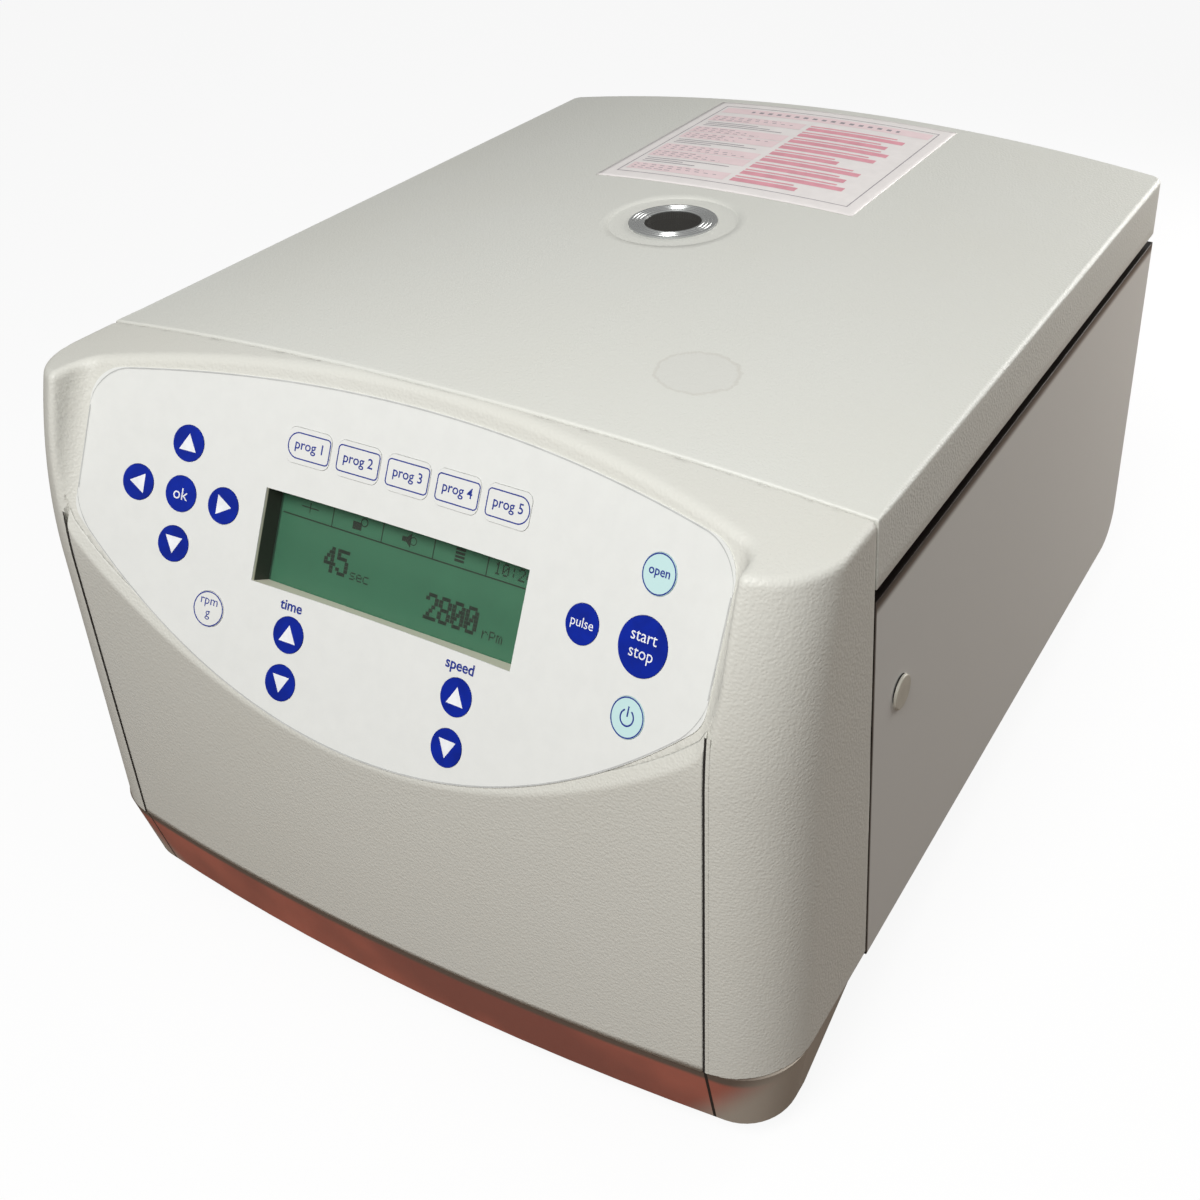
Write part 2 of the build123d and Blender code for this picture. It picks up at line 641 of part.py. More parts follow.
with BuildPart() as mains_rocker:
    with BuildSketch(Plane.YZ.offset(INLET_X - 10.6)):
        with BuildLine():
            Polyline(
                (REAR_Y - 10, SWITCH_Z - 3), (REAR_Y + 1.2, SWITCH_Z - 5.4), (REAR_Y - 0.6, SWITCH_Z),
                (REAR_Y + 1.2, SWITCH_Z + 5.4), (REAR_Y - 10, SWITCH_Z + 3), (REAR_Y - 10, SWITCH_Z - 3),
            )
        make_face()
    extrude(amount=21.2)
    with BuildSketch(Plane.YZ.offset(INLET_X - 12.5)):
        with Locations((REAR_Y - 5, SWITCH_Z)):
            Circle(1.5)
    extrude(amount=25)
save(mains_rocker, "mains_rocker")

with BuildPart() as data_port:
    with BuildSketch(Plane.XZ.offset(-REAR_SHEET_Y - SHEET - 1.5)):
        with Locations((PORT_X, PORT_Z)):
            RectangleRounded(14, 32, 1)
    extrude(amount=1.5)
    with BuildSketch(Plane.XZ.offset(-REAR_SHEET_Y - SHEET)):
        with Locations((PORT_X, PORT_Z)):
            Rectangle(12.6, 23)
    extrude(amount=12)
    with BuildSketch(Plane.XZ.offset(-REAR_SHEET_Y - SHEET - 2)):
        with Locations((PORT_X, PORT_Z)):
            Rectangle(9, 18)
    extrude(amount=8, mode=Mode.SUBTRACT)
save(data_port, "data_port")

PLUG_R = 6.5
PLUG_T = 1.2
with BuildPart() as release_plug:
    plug_foot = (side_x(PLUG_Z) - SIDE_INSET, PLUG_Y, PLUG_Z)
    plug_plane = Plane(origin=plug_foot, x_dir=(0, 1, 0), z_dir=(1, 0, draft))
    with BuildSketch(plug_plane):
        Circle(PLUG_R)
    extrude(amount=PLUG_T)
    fillet(release_plug.faces().sort_by(Axis.X)[-1].edges(), 0.5)
    with BuildSketch(plug_plane):
        Circle(4)
    extrude(amount=-9)
save(release_plug, "release_plug")

REAR_SCREWS = [(x, z) for x in (-152.0, 152.0) for z in (80.0, 135.0, 190.0)]
with BuildPart() as case_screws:
    for x, z in REAR_SCREWS:
        with Locations((x, REAR_Y, z)):
            Cylinder(3.2, 1.8, rotation=(-90, 0, 0), align=(Align.CENTER, Align.CENTER, Align.MIN))
save(case_screws, "case_screws")


# ---------------------------------------------------------------- deck, chamber and drive

with BuildPart() as top_deck:
    with BuildSketch(Plane.XY.offset(DECK_Z)):
        with BuildLine():
            ThreePointArc((-158, CREASE_Y + 0.3), (0, CREASE_Y + 0.3 - CREASE_BOW), (158, CREASE_Y + 0.3))
            Polyline((158, CREASE_Y + 0.3), (158, REAR_SHEET_Y - 0.6), (-158, REAR_SHEET_Y - 0.6),
                     (-158, CREASE_Y + 0.3))
        make_face()
        with Locations((0, AXIS_Y)):
            Circle(BOWL_R + 0.5, mode=Mode.SUBTRACT)
        for x in (-STRIKER_X, STRIKER_X):
            with Locations((x, STRIKER_Y - 0.5)):
                Rectangle(6, 16, mode=Mode.SUBTRACT)
    extrude(amount=DECK_T)
save(top_deck, "top_deck")

with BuildPart() as rotor_bowl:
    with BuildSketch(Plane.XZ) as section:
        with BuildLine():
            Polyline(
                (22, BOWL_FLOOR_Z), (BOWL_R, BOWL_FLOOR_Z), (BOWL_R, DECK_TOP), (RIM_R, DECK_TOP),
                (RIM_R, DECK_TOP + BOWL_T), (BOWL_R - BOWL_T, DECK_TOP + BOWL_T),
                (BOWL_R - BOWL_T, BOWL_FLOOR_Z + BOWL_T), (22, BOWL_FLOOR_Z + BOWL_T), (22, BOWL_FLOOR_Z),
            )
        make_face()
        inner_foot = section.vertices().sort_by_distance((BOWL_R - BOWL_T, 0, BOWL_FLOOR_Z + BOWL_T))[0]
        fillet(inner_foot, 10)
        outer_foot = section.vertices().sort_by_distance((BOWL_R, 0, BOWL_FLOOR_Z))[0]
        fillet(outer_foot, 10 + BOWL_T)
    revolve(axis=Axis.Z)
    locate = Location((0, AXIS_Y, 0))
rotor_bowl.part = rotor_bowl.part.moved(locate)
save(rotor_bowl, "rotor_bowl")

GASKET_Z = DECK_TOP + BOWL_T
with BuildPart() as bowl_gasket:
    with BuildSketch(Plane.XY.offset(GASKET_Z)):
        with Locations((0, AXIS_Y)):
            Circle(RIM_R - 0.5)
            Circle(RIM_R - 8, mode=Mode.SUBTRACT)
    extrude(amount=2)
    with BuildSketch(Plane.XY.offset(GASKET_Z + 2)):
        with Locations((0, AXIS_Y)):
            Circle(RIM_R - 2)
            Circle(RIM_R - 5, mode=Mode.SUBTRACT)
    extrude(amount=LINER_Z - GASKET_Z - 2)
save(bowl_gasket, "bowl_gasket")

MOTOR_FLANGE_Z = 36.0
MOTOR_TOP_Z = 88.0
COLLAR_TOP_Z = 101.0
SHAFT_LOW_Z = 40.0
with BuildPart() as motor_housing:
    with Locations((0, AXIS_Y, 22)):
        Cylinder(50, MOTOR_TOP_Z - 22, align=(Align.CENTER, Align.CENTER, Align.MIN))
    with BuildSketch(Plane.XY.offset(MOTOR_FLANGE_Z)):
        with Locations((0, AXIS_Y)):
            RectangleRounded(148, 148, 12)
    extrude(amount=4)
    for n in range(16):
        with Locations(Location((0, AXIS_Y, 46), (0, 0, n * 22.5))):
            with Locations((51, 0, 0)):
                Box(8, 3, 36, align=(Align.CENTER, Align.CENTER, Align.MIN))
    with Locations((0, AXIS_Y, MOTOR_TOP_Z)):
        Cylinder(19, COLLAR_TOP_Z - MOTOR_TOP_Z, align=(Align.CENTER, Align.CENTER, Align.MIN))
    with Locations((0, AXIS_Y, SHAFT_LOW_Z - 2)):
        Cylinder(SHAFT_R + FIT, 100, align=(Align.CENTER, Align.CENTER, Align.MIN), mode=Mode.SUBTRACT)
save(motor_housing, "motor_housing")

with BuildPart() as motor_dampers:
    for x, y in DAMPERS:
        with Locations((x, y, TRAY_FLOOR_Z)):
            Cylinder(9, MOTOR_FLANGE_Z - TRAY_FLOOR_Z, align=(Align.CENTER, Align.CENTER, Align.MIN))
save(motor_dampers, "motor_dampers")

HUB_LOW_Z, HUB_TOP_Z = 106.0, 152.0
with BuildPart() as motor_shaft:
    with Locations((0, AXIS_Y, SHAFT_LOW_Z)):
        Cylinder(SHAFT_R, HUB_TOP_Z - SHAFT_LOW_Z, align=(Align.CENTER, Align.CENTER, Align.MIN))
    with Locations((0, AXIS_Y, HUB_TOP_Z)):
        Cylinder(4, 8, align=(Align.CENTER, Align.CENTER, Align.MIN))
save(motor_shaft, "motor_shaft")

BAR_NEAR, BAR_FAR = 69.0, 77.0  # the side bars, from the rotor's middle
BAR_LOW_Z, BAR_HIGH_Z = 139.0, 157.0
CROSS_HALF = 12.5
with BuildPart() as rotor_yoke:
    with Locations((0, AXIS_Y, HUB_LOW_Z)):
        Cylinder(CROSS_HALF, HUB_TOP_Z - HUB_LOW_Z, align=(Align.CENTER, Align.CENTER, Align.MIN))
    with Locations((0, AXIS_Y, BAR_LOW_Z)):
        Box(18, 2 * BAR_NEAR + 4, 12, align=(Align.CENTER, Align.CENTER, Align.MIN))
    for side in (-1, 1):
        with Locations((0, AXIS_Y + side * (BAR_NEAR + BAR_FAR) / 2, (BAR_LOW_Z + BAR_HIGH_Z) / 2)):
            Box(2 * PIVOT_R + 22, BAR_FAR - BAR_NEAR, BAR_HIGH_Z - BAR_LOW_Z)
    fillet(rotor_yoke.edges().filter_by(Axis.Y).filter_by(lambda e: abs(e.center().X) > PIVOT_R), 7)
    for x in (-PIVOT_R, PIVOT_R):
        with Locations((x, AXIS_Y, PIVOT_Z)):
            Cylinder(TRUNNION_R + FIT, 200, rotation=(90, 0, 0), mode=Mode.SUBTRACT)
    with Locations((0, AXIS_Y, HUB_LOW_Z)):
        Cylinder(SHAFT_R, 100, align=(Align.CENTER, Align.CENTER, Align.MIN), mode=Mode.SUBTRACT)
save(rotor_yoke, "rotor_yoke")

with BuildPart() as rotor_nut:
    with BuildSketch(Plane.XY.offset(HUB_TOP_Z)):
        with Locations((0, AXIS_Y)):
            RegularPolygon(10, 6)
            Circle(4, mode=Mode.SUBTRACT)
    extrude(amount=9)
save(rotor_nut, "rotor_nut")


def plate_carrier(pivot_x):
    """Swing-out tray with a pocket for one plate, finger notches in its long walls and two trunnions."""
    floor_z = PIVOT_Z + CARRIER_LOW
    rim_z = PIVOT_Z + CARRIER_HIGH
    with BuildPart() as carrier:
        with BuildSketch(Plane.XY.offset(floor_z)):
            with Locations((pivot_x, AXIS_Y)):
                RectangleRounded(CARRIER_W, CARRIER_L, 6)
        extrude(amount=rim_z - floor_z)
        with BuildSketch(Plane.XY.offset(floor_z + 2)):
            with Locations((pivot_x, AXIS_Y)):
                RectangleRounded(POCKET_W, POCKET_L, 4)
        extrude(amount=40, mode=Mode.SUBTRACT)
        with Locations((pivot_x, AXIS_Y, rim_z)):
            Box(2 * CARRIER_W, 50, 2 * (rim_z - floor_z - 12), mode=Mode.SUBTRACT)
        # drain slots in the floor
        with BuildSketch(Plane.XY.offset(floor_z)):
            with Locations(*[(pivot_x, AXIS_Y + dy) for dy in (-45, -15, 15, 45)]):
                SlotOverall(50, 8)
        extrude(amount=2, mode=Mode.SUBTRACT)
        for side in (-1, 1):
            with Locations((pivot_x, AXIS_Y + side * (CARRIER_L / 2 - 0.9 + BAR_FAR - 1) / 2, PIVOT_Z)):
                Cylinder(TRUNNION_R, BAR_FAR - 1 - CARRIER_L / 2 + 0.9, rotation=(90, 0, 0))
    return carrier


save(plate_carrier(PIVOT_R), "plate_carrier_a")
save(plate_carrier(-PIVOT_R), "plate_carrier_b")

with BuildPart() as power_board:
    with BuildSketch(Plane.XY.offset(TRAY_FLOOR_Z + 8)):
        with Locations((BOARD_X, BOARD_Y)):
            Rectangle(BOARD_W, BOARD_L)
    extrude(amount=1.6)
    with BuildSketch(Plane.XY.offset(TRAY_FLOOR_Z + 9.6)):
        with Locations((BOARD_X - 5, BOARD_Y + 30)):
            Rectangle(40, 44)
    extrude(amount=36)
    with BuildSketch(Plane.XY.offset(TRAY_FLOOR_Z + 9.6)):
        with Locations((BOARD_X - 14, BOARD_Y - 35), (BOARD_X + 12, BOARD_Y - 35)):
            Circle(9)
        with Locations((BOARD_X, BOARD_Y - 5)):
            Rectangle(50, 8)
    extrude(amount=26)
save(power_board, "power_board")


# ---------------------------------------------------------------- lid


def lid_solid(inset, low_z):
    """The lid's outer form taken in by inset, before the crown cuts it."""
    with BuildPart() as solid:
        for z in (low_z, 256.0):
            half = side_x(z) - inset
            front = CREASE_Y + PART_GAP + inset
            rear = LID_REAR_Y - inset
            with BuildSketch(Plane.XY.offset(z)) as outline:
                with BuildLine():
                    ThreePointArc((-half, front), (0, front - CREASE_BOW), (half, front))
                    Polyline((half, front), (half, rear), (-half, rear), (-half, front))
                make_face()
                fillet(outline.vertices().group_by(Axis.Y)[-1], LID_CORNER_R - inset)
        loft()
        with Locations((0, 0, HEIGHT - CROWN_R)):
            Cylinder(CROWN_R - inset, 900, rotation=(90, 0, 0), mode=Mode.INTERSECT)
    return solid.part


RECESS_R = 27.7
RECESS_Z = HEIGHT - 0.8
RING_R = 18.75
RING_NECK_R = 15.0
RING_BORE_R = 12.0
LABEL_HALF = 64.0
LABEL_Y0, LABEL_Y1 = 71.0, 191.0
LABEL_T = 0.25
lid_inside = lid_solid(WALL, SKIRT_Z - 1)

with BuildPart() as lid_shell:
    add(lid_solid(0, SKIRT_Z))
    add(lid_inside, mode=Mode.SUBTRACT)
    with Locations((0, AXIS_Y, RECESS_Z)):
        Cylinder(RECESS_R, 5, align=(Align.CENTER, Align.CENTER, Align.MIN), mode=Mode.SUBTRACT)
        Cylinder(RING_NECK_R + 0.1, 20, mode=Mode.SUBTRACT)
    with BuildSketch(Plane.XY.offset(HEIGHT - 8)):
        with Locations((0, (LABEL_Y0 + LABEL_Y1) / 2)):
            Rectangle(2 * LABEL_HALF + 0.4, LABEL_Y1 - LABEL_Y0 + 0.4)
    extrude(amount=20, mode=Mode.SUBTRACT)
    with BuildSketch(Plane.XZ.offset(-LABEL_Y1 - 4)):
        with Locations((0, HEIGHT - CROWN_R)):
            Circle(CROWN_R - LABEL_T)
            Circle(CROWN_R - WALL, mode=Mode.SUBTRACT)
        with Locations((0, HEIGHT - 8)):
            Rectangle(2 * LABEL_HALF + 6, 24, mode=Mode.INTERSECT)
    extrude(amount=LABEL_Y1 - LABEL_Y0 + 8)
save(lid_shell, "lid_shell")

with BuildPart() as information_label:
    with BuildSketch(Plane.XZ.offset(-LABEL_Y1)):
        with Locations((0, HEIGHT - CROWN_R)):
            Circle(CROWN_R)
            Circle(CROWN_R - LABEL_T, mode=Mode.SUBTRACT)
        with Locations((0, HEIGHT)):
            Rectangle(2 * LABEL_HALF, 20, mode=Mode.INTERSECT)
    extrude(amount=LABEL_Y1 - LABEL_Y0)
save(information_label, "information_label")

BRACKET_HALF = 5.0
BRACKET_FRONT_Y, BRACKET_BACK_Y = 158.0, 178.0  # the foot; the lid's rear wall swings down behind it
ARM_T = 3.0
ARM_GAP = 0.5
ARM_FRONT_Y = 146.0
LINER_TOP = LINER_Z + LINER_T
POSTS = [(x, y) for x in (-140.0, 0.0, 140.0) for y in (-95.0, 130.0)] + [(-140.0, 20.0), (140.0, 20.0)]
with BuildPart() as lid_posts:
    with BuildSketch(Plane.XY.offset(LINER_TOP)):
        with Locations(*POSTS):
            Circle(4)
    extrude(amount=40)
    add(lid_inside, mode=Mode.INTERSECT)

with BuildPart() as lid_liner:
    with BuildSketch(Plane.XY.offset(LINER_Z)):
        with Locations((0, (LINER_REAR_Y - 118) / 2)):
            RectangleRounded(312, LINER_REAR_Y + 118, 8)
        with Locations((0, AXIS_Y)):
            Circle(RING_NECK_R + 0.1, mode=Mode.SUBTRACT)
        for x in (-HINGE_X, HINGE_X):
            with Locations((x, LINER_REAR_Y)):
                Rectangle(2 * BRACKET_HALF + 2, 50, mode=Mode.SUBTRACT)
    extrude(amount=LINER_T)
    add(lid_posts.part)
save(lid_liner, "lid_liner")

with BuildPart() as port_ring:
    with Locations((0, AXIS_Y, RECESS_Z)):
        Cylinder(RING_R, HEIGHT - RECESS_Z, align=(Align.CENTER, Align.CENTER, Align.MIN))
        Cylinder(RING_NECK_R, RECESS_Z - LINER_Z, align=(Align.CENTER, Align.CENTER, Align.MAX))
    with Locations((0, AXIS_Y, 0)):
        Cylinder(RING_BORE_R, 300, align=(Align.CENTER, Align.CENTER, Align.MIN), mode=Mode.SUBTRACT)
    for radius in (13.4, 15.2, 17.0):
        with BuildSketch(Plane.XY.offset(HEIGHT)):
            with Locations((0, AXIS_Y)):
                Circle(radius + 0.3)
                Circle(radius - 0.3, mode=Mode.SUBTRACT)
        extrude(amount=-0.35, mode=Mode.SUBTRACT)
save(port_ring, "port_ring")

with BuildPart() as port_glass:
    with Locations((0, AXIS_Y, HEIGHT - 3.6)):
        Cylinder(RING_BORE_R, 3, align=(Align.CENTER, Align.CENTER, Align.MIN))
save(port_glass, "port_glass")

STRIKER_LOW_Z = BOLT_Z - 6
with BuildPart() as lid_strikers:
    for x in (-STRIKER_X, STRIKER_X):
        with Locations((x, STRIKER_Y, STRIKER_LOW_Z)):
            Box(3, 10, LINER_Z - STRIKER_LOW_Z, align=(Align.CENTER, Align.CENTER, Align.MIN))
        with Locations((x, STRIKER_Y, BOLT_Z)):
            Cylinder(3.6, 10, rotation=(0, 90, 0), mode=Mode.SUBTRACT)
        with Locations((x, STRIKER_Y, LINER_Z)):
            Box(12, 8, 2, align=(Align.CENTER, Align.CENTER, Align.MAX))
save(lid_strikers, "lid_strikers")

with BuildPart() as lid_hinge_arms:
    for x in (-HINGE_X, HINGE_X):
        for side in (-1, 1):
            inner = x + side * (BRACKET_HALF + ARM_GAP + ARM_T / 2)
            with BuildSketch(Plane.YZ.offset(inner - ARM_T / 2)):
                with Locations((HINGE_Y, HINGE_Z)):
                    Circle(5.4)
                with Locations(((ARM_FRONT_Y + HINGE_Y) / 2, (LINER_TOP + 228) / 2)):
                    Rectangle(HINGE_Y - ARM_FRONT_Y, 228 - LINER_TOP)
                with Locations((HINGE_Y, HINGE_Z)):
                    Circle(HINGE_PIN_R, mode=Mode.SUBTRACT)
            extrude(amount=ARM_T)
save(lid_hinge_arms, "lid_hinge_arms")

with BuildPart() as hinge_pins:
    for x in (-HINGE_X, HINGE_X):
        with Locations((x, HINGE_Y, HINGE_Z)):
            Cylinder(HINGE_PIN_R, 2 * (BRACKET_HALF + ARM_GAP + ARM_T) + 2, rotation=(0, 90, 0))
save(hinge_pins, "hinge_pins")

with BuildPart() as hinge_brackets:
    for x in (-HINGE_X, HINGE_X):
        with BuildSketch(Plane.YZ.offset(x - BRACKET_HALF)):
            with BuildLine():
                Polyline(
                    (BRACKET_FRONT_Y, DECK_TOP), (BRACKET_BACK_Y, DECK_TOP), (HINGE_Y - 4.3, HINGE_Z - 2.5),
                    (HINGE_Y - 3.5, HINGE_Z + 3.6), (BRACKET_FRONT_Y, DECK_TOP),
                )
            make_face()
            with Locations((HINGE_Y, HINGE_Z)):
                Circle(5)
                Circle(HINGE_PIN_R + FIT, mode=Mode.SUBTRACT)
        extrude(amount=2 * BRACKET_HALF)
save(hinge_brackets, "hinge_brackets")


# ---------------------------------------------------------------- lid latch

LATCH_TRAVEL = 12.0
BOLT_BACK = 8.0  # the bolt tips stand this far short of the strikers' middle when drawn
LATCH_X0, LATCH_X1 = -104.0, STRIKER_X - BOLT_BACK + LATCH_TRAVEL + 3
LATCH_Y0, LATCH_Y1 = -121.0, -98.6
with BuildPart() as latch_housing:
    with Locations(((LATCH_X0 + LATCH_X1) / 2, (LATCH_Y0 + LATCH_Y1) / 2, DECK_Z)):
        Box(LATCH_X1 - LATCH_X0, LATCH_Y1 - LATCH_Y0, 26, align=(Align.CENTER, Align.CENTER, Align.MAX))
        Box(LATCH_X1 - LATCH_X0 - 4, LATCH_Y1 - LATCH_Y0 - 4, 24,
            align=(Align.CENTER, Align.CENTER, Align.MAX), mode=Mode.SUBTRACT)
save(latch_housing, "latch_housing")

BOLT_R = 3.0
with BuildPart() as latch_bar:
    with Locations((LATCH_X0 + 2.5, LATCH_Y1 - 2.5, BOLT_Z)):
        Box(162, 4, 14, align=(Align.MIN, Align.MAX, Align.CENTER))
    for x in (LATCH_X0 + 2.5, 52.0):
        with Locations((x, LATCH_Y1 - 4.5, BOLT_Z)):
            Box(6, 14, 10, align=(Align.MIN, Align.MAX, Align.CENTER))
    for tip in (-STRIKER_X - BOLT_BACK, STRIKER_X - BOLT_BACK):
        with Locations((tip, STRIKER_Y, BOLT_Z)):
            Cylinder(BOLT_R, 14, rotation=(0, 90, 0), align=(Align.CENTER, Align.CENTER, Align.MAX))
save(latch_bar, "latch_bar")
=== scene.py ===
"""Looks for the microplate centrifuge: skins, prints and finishes set on the fixed frame of solid parts.

Row frame in metres: +X right, +Y to the rear, +Z up, origin on the bench under the middle of the machine.
"""
import json
import math

import bmesh
import bpy
import numpy as np
from mathutils import Matrix, Vector


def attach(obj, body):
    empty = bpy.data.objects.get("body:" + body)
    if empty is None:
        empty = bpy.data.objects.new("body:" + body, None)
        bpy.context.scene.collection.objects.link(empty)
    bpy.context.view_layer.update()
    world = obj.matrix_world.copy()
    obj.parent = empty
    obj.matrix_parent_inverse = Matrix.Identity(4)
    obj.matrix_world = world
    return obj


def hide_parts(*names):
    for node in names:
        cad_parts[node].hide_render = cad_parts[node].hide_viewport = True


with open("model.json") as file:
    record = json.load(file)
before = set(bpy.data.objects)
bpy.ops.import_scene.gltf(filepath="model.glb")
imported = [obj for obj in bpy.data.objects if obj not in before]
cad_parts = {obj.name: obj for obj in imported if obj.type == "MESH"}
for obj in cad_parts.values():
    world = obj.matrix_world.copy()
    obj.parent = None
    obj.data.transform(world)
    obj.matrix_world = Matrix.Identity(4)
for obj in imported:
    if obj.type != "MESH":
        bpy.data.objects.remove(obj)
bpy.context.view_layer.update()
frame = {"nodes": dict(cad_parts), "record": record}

bl_info = {
    "name": "Microplate Centrifuge Looks",
    "version": (1, 0, 0),
    "blender": (4, 5, 0),
    "location": "View3D > Sidebar > Centrifuge",
    "description": "Builds the rounded skins, keypad print, display and finishes of a two-plate bench centrifuge",
    "category": "Object",
}

MM = 0.001

# ------------------------------------------------------------------ form of the housing, in millimetres

WIDTH, DEPTH, HEIGHT = 330.0, 412.0, 250.0
FRONT_Y = -DEPTH / 2
SEAM_Z = 47.4  # joint between the base and what stands on it
# front: bow and corners in plan, the lean back and the bend that ends it, and the cover below the keypad
BOW_R, CORNER_R = 1293.0, 26.0
LEAN, LEAN_BEND_Z, LEAN_BEND_R = 0.075, 170.0, 200.0
COVER_HALF, COVER_WALL, COVER_ROLL = 136.6, 2.5, 1.3
# lid: crown, skirt and parting line
LID_HALF, CROWN_RISE, SKIRT_Z = 162.2, 11.9, 212.4
CROWN_R = (LID_HALF**2 + CROWN_RISE**2) / (2 * CROWN_RISE)
SIDE_TOP_Z = HEIGHT - CROWN_RISE
CREASE_Y, CREASE_BOW, LID_REAR_Y = -124.1, 7.0, 199.0
CREASE_R = (LID_HALF**2 + CREASE_BOW**2) / (2 * CREASE_BOW)
# control panel: a trough about an axis along its slope, from its lowest line at PANEL_Y and PANEL_Z
PANEL_TILT = math.radians(30.0)
PANEL_Y, PANEL_Z, PANEL_R, PANEL_WALL_X, PANEL_FILLET = -158.1, 208.0, 639.0, 138.5, 5.0
OVERLAY_T, OVERLAY_TOP, OVERLAY_LOW = 0.45, 42.0, -82.2
FILM_SAG = 0.08  # how far the facets of the film's curve stand in front of it
PORT_Y, PORT_FLOOR_Z, RECESS_R, NECK_R = 32.0, 249.2, 27.7, 15.1
DRAFT = (WIDTH / 2 - LID_HALF) / (SIDE_TOP_Z - SEAM_Z)
# side panels: set in from the housing's draft, with their top, bottom and front edges and the largest roll
SIDE_INSET, SIDE_TOP, SIDE_LOW, SIDE_FRONT, SIDE_ROLL = 0.3, 207.7, 44.3, -123.7, 3.9
# front moulding: wall, rolled edges, and the gap to the lid
BEZEL_WALL, CROWN_ROLL, PANEL_ROLL, CREASE_ROLL, CREASE_GAP = 4.0, 2.4, 2.6, 1.0, 0.4
# end walls of the control panel: how far they flare, and the cosine of that angle
WALL_FLARE, WALL_COS = 0.107, 0.994
# rooms cut in the moulding: over the deck, behind the cover, and the display's window in the panel
DECK_HALF, DECK_Y, DECK_Z = 159.0, -147.0, 203.5
ROOM_HALF, ROOM_Y, ROOM_Z, ROOM_WALL, PANEL_WALL = COVER_HALF + 1.3, -156.0, 203.0, 4.4, 4.6
WINDOW_U, WINDOW_V, WINDOW_WIDE, WINDOW_HIGH, WINDOW_DEEP = 1.4, -15.8, 58.8, 18.8, 9.0
# release plug in the right side panel, and the crescent slot beside it
PLUG_Y, PLUG_Z, PLUG_R, PLUG_SLOT_W = -100.0, 155.0, 6.5, 1.7

PANEL_UP = np.array([0.0, math.sin(PANEL_TILT), math.cos(PANEL_TILT)])
PANEL_OUT = np.array([0.0, -math.cos(PANEL_TILT), math.sin(PANEL_TILT)])


def side_x(z):
    """Half width at height z: a straight draft that opens towards the base."""
    return LID_HALF + DRAFT * (SIDE_TOP_Z - z)


def crown_z(x, inset=0.0):
    """Top surface: a circle of radius CROWN_R about an axis along Y, taken in by inset."""
    return HEIGHT - CROWN_R + np.sqrt((CROWN_R - inset) ** 2 - np.asarray(x) ** 2)


def lean(z):
    """How far the front has moved back at height z: a straight lean, then an arc."""
    bend = np.maximum(0.0, z - LEAN_BEND_Z)
    return LEAN * (z - SEAM_Z) + bend**2 / (2 * LEAN_BEND_R)


def panel_point(u, v, lift=0.0):
    """Point on the trough at u across and v up the slope, lifted along the local normal (mm, N x 3)."""
    u, v = np.broadcast_arrays(np.asarray(u, float), np.asarray(v, float))
    turn = np.arcsin(u / PANEL_R)
    rise = PANEL_R * (1 - np.cos(turn)) + lift * np.cos(turn)
    across = u - lift * np.sin(turn)
    base = np.stack([across, np.full_like(u, PANEL_Y), np.full_like(u, PANEL_Z)], -1)
    return base + v[..., None] * PANEL_UP + rise[..., None] * PANEL_OUT


def path(x, y):
    """A row of points from its x and its y (N x 2)."""
    return np.stack(np.broadcast_arrays(x, y), -1)


def ways(turn):
    """Unit vectors at the angles turn, in radians (N x 2)."""
    return path(np.cos(turn), np.sin(turn))


def unit(v):
    """Vectors at length one (N x 2 or N x 3)."""
    return v / np.maximum(np.linalg.norm(v, axis=1, keepdims=True), 1e-9)


def at_most(v, longest):
    """Vectors cut down to the length longest where they are longer."""
    return v * np.minimum(1.0, longest / np.maximum(np.linalg.norm(v, axis=1, keepdims=True), 1e-9))


# ------------------------------------------------------------------ mesh helpers


def grid_mesh(name, points, around=False, along=False):
    """Mesh of a grid of points (rows x columns x 3, mm): one quad per cell.

    around joins the last column to the first, along joins the last row to the first.
    """
    rows, cols = points.shape[:2]
    r = np.arange(rows if along else rows - 1)
    c = np.arange(cols if around else cols - 1)
    r, c = np.meshgrid(r, c, indexing="ij")
    r1, c1 = (r + 1) % rows, (c + 1) % cols
    quads = np.stack([r * cols + c, r * cols + c1, r1 * cols + c1, r1 * cols + c], -1).reshape(-1, 4)
    return quad_mesh(name, points.reshape(-1, 3), quads)


def quad_mesh(name, points, faces):
    """Smooth-shaded mesh object from points in millimetres and a face array."""
    mesh = bpy.data.meshes.new(name)
    mesh.from_pydata((points * MM).tolist(), [], faces.tolist())
    mesh.polygons.foreach_set("use_smooth", np.ones(len(mesh.polygons), bool))
    mesh.update()
    return link(name, mesh)


def link(name, data):
    """A new object of a mesh, a curve, a lamp or a camera."""
    obj = bpy.data.objects.new(name, data)
    bpy.context.scene.collection.objects.link(obj)
    return obj


def weld(obj):
    """Merges doubles and turns the faces outwards."""
    bm = bmesh.new()
    bm.from_mesh(obj.data)
    bmesh.ops.remove_doubles(bm, verts=bm.verts, dist=1e-6)
    bmesh.ops.recalc_face_normals(bm, faces=bm.faces)
    bm.to_mesh(obj.data)
    bm.free()


def round_max(a, b, r):
    """Intersection of two distance fields whose meeting edge is rolled over with radius r."""
    return np.minimum(np.maximum(a, b), -r) + np.hypot(np.maximum(a + r, 0.0), np.maximum(b + r, 0.0))


def slope(field, p, h=0.02):
    """Gradient of a field at points p (N x 3), by central differences."""
    out = np.empty_like(p)
    for a in range(3):
        q, w = p.copy(), p.copy()
        q[:, a] += h
        w[:, a] -= h
        out[:, a] = (field(*q.T) - field(*w.T)) / (2 * h)
    return out


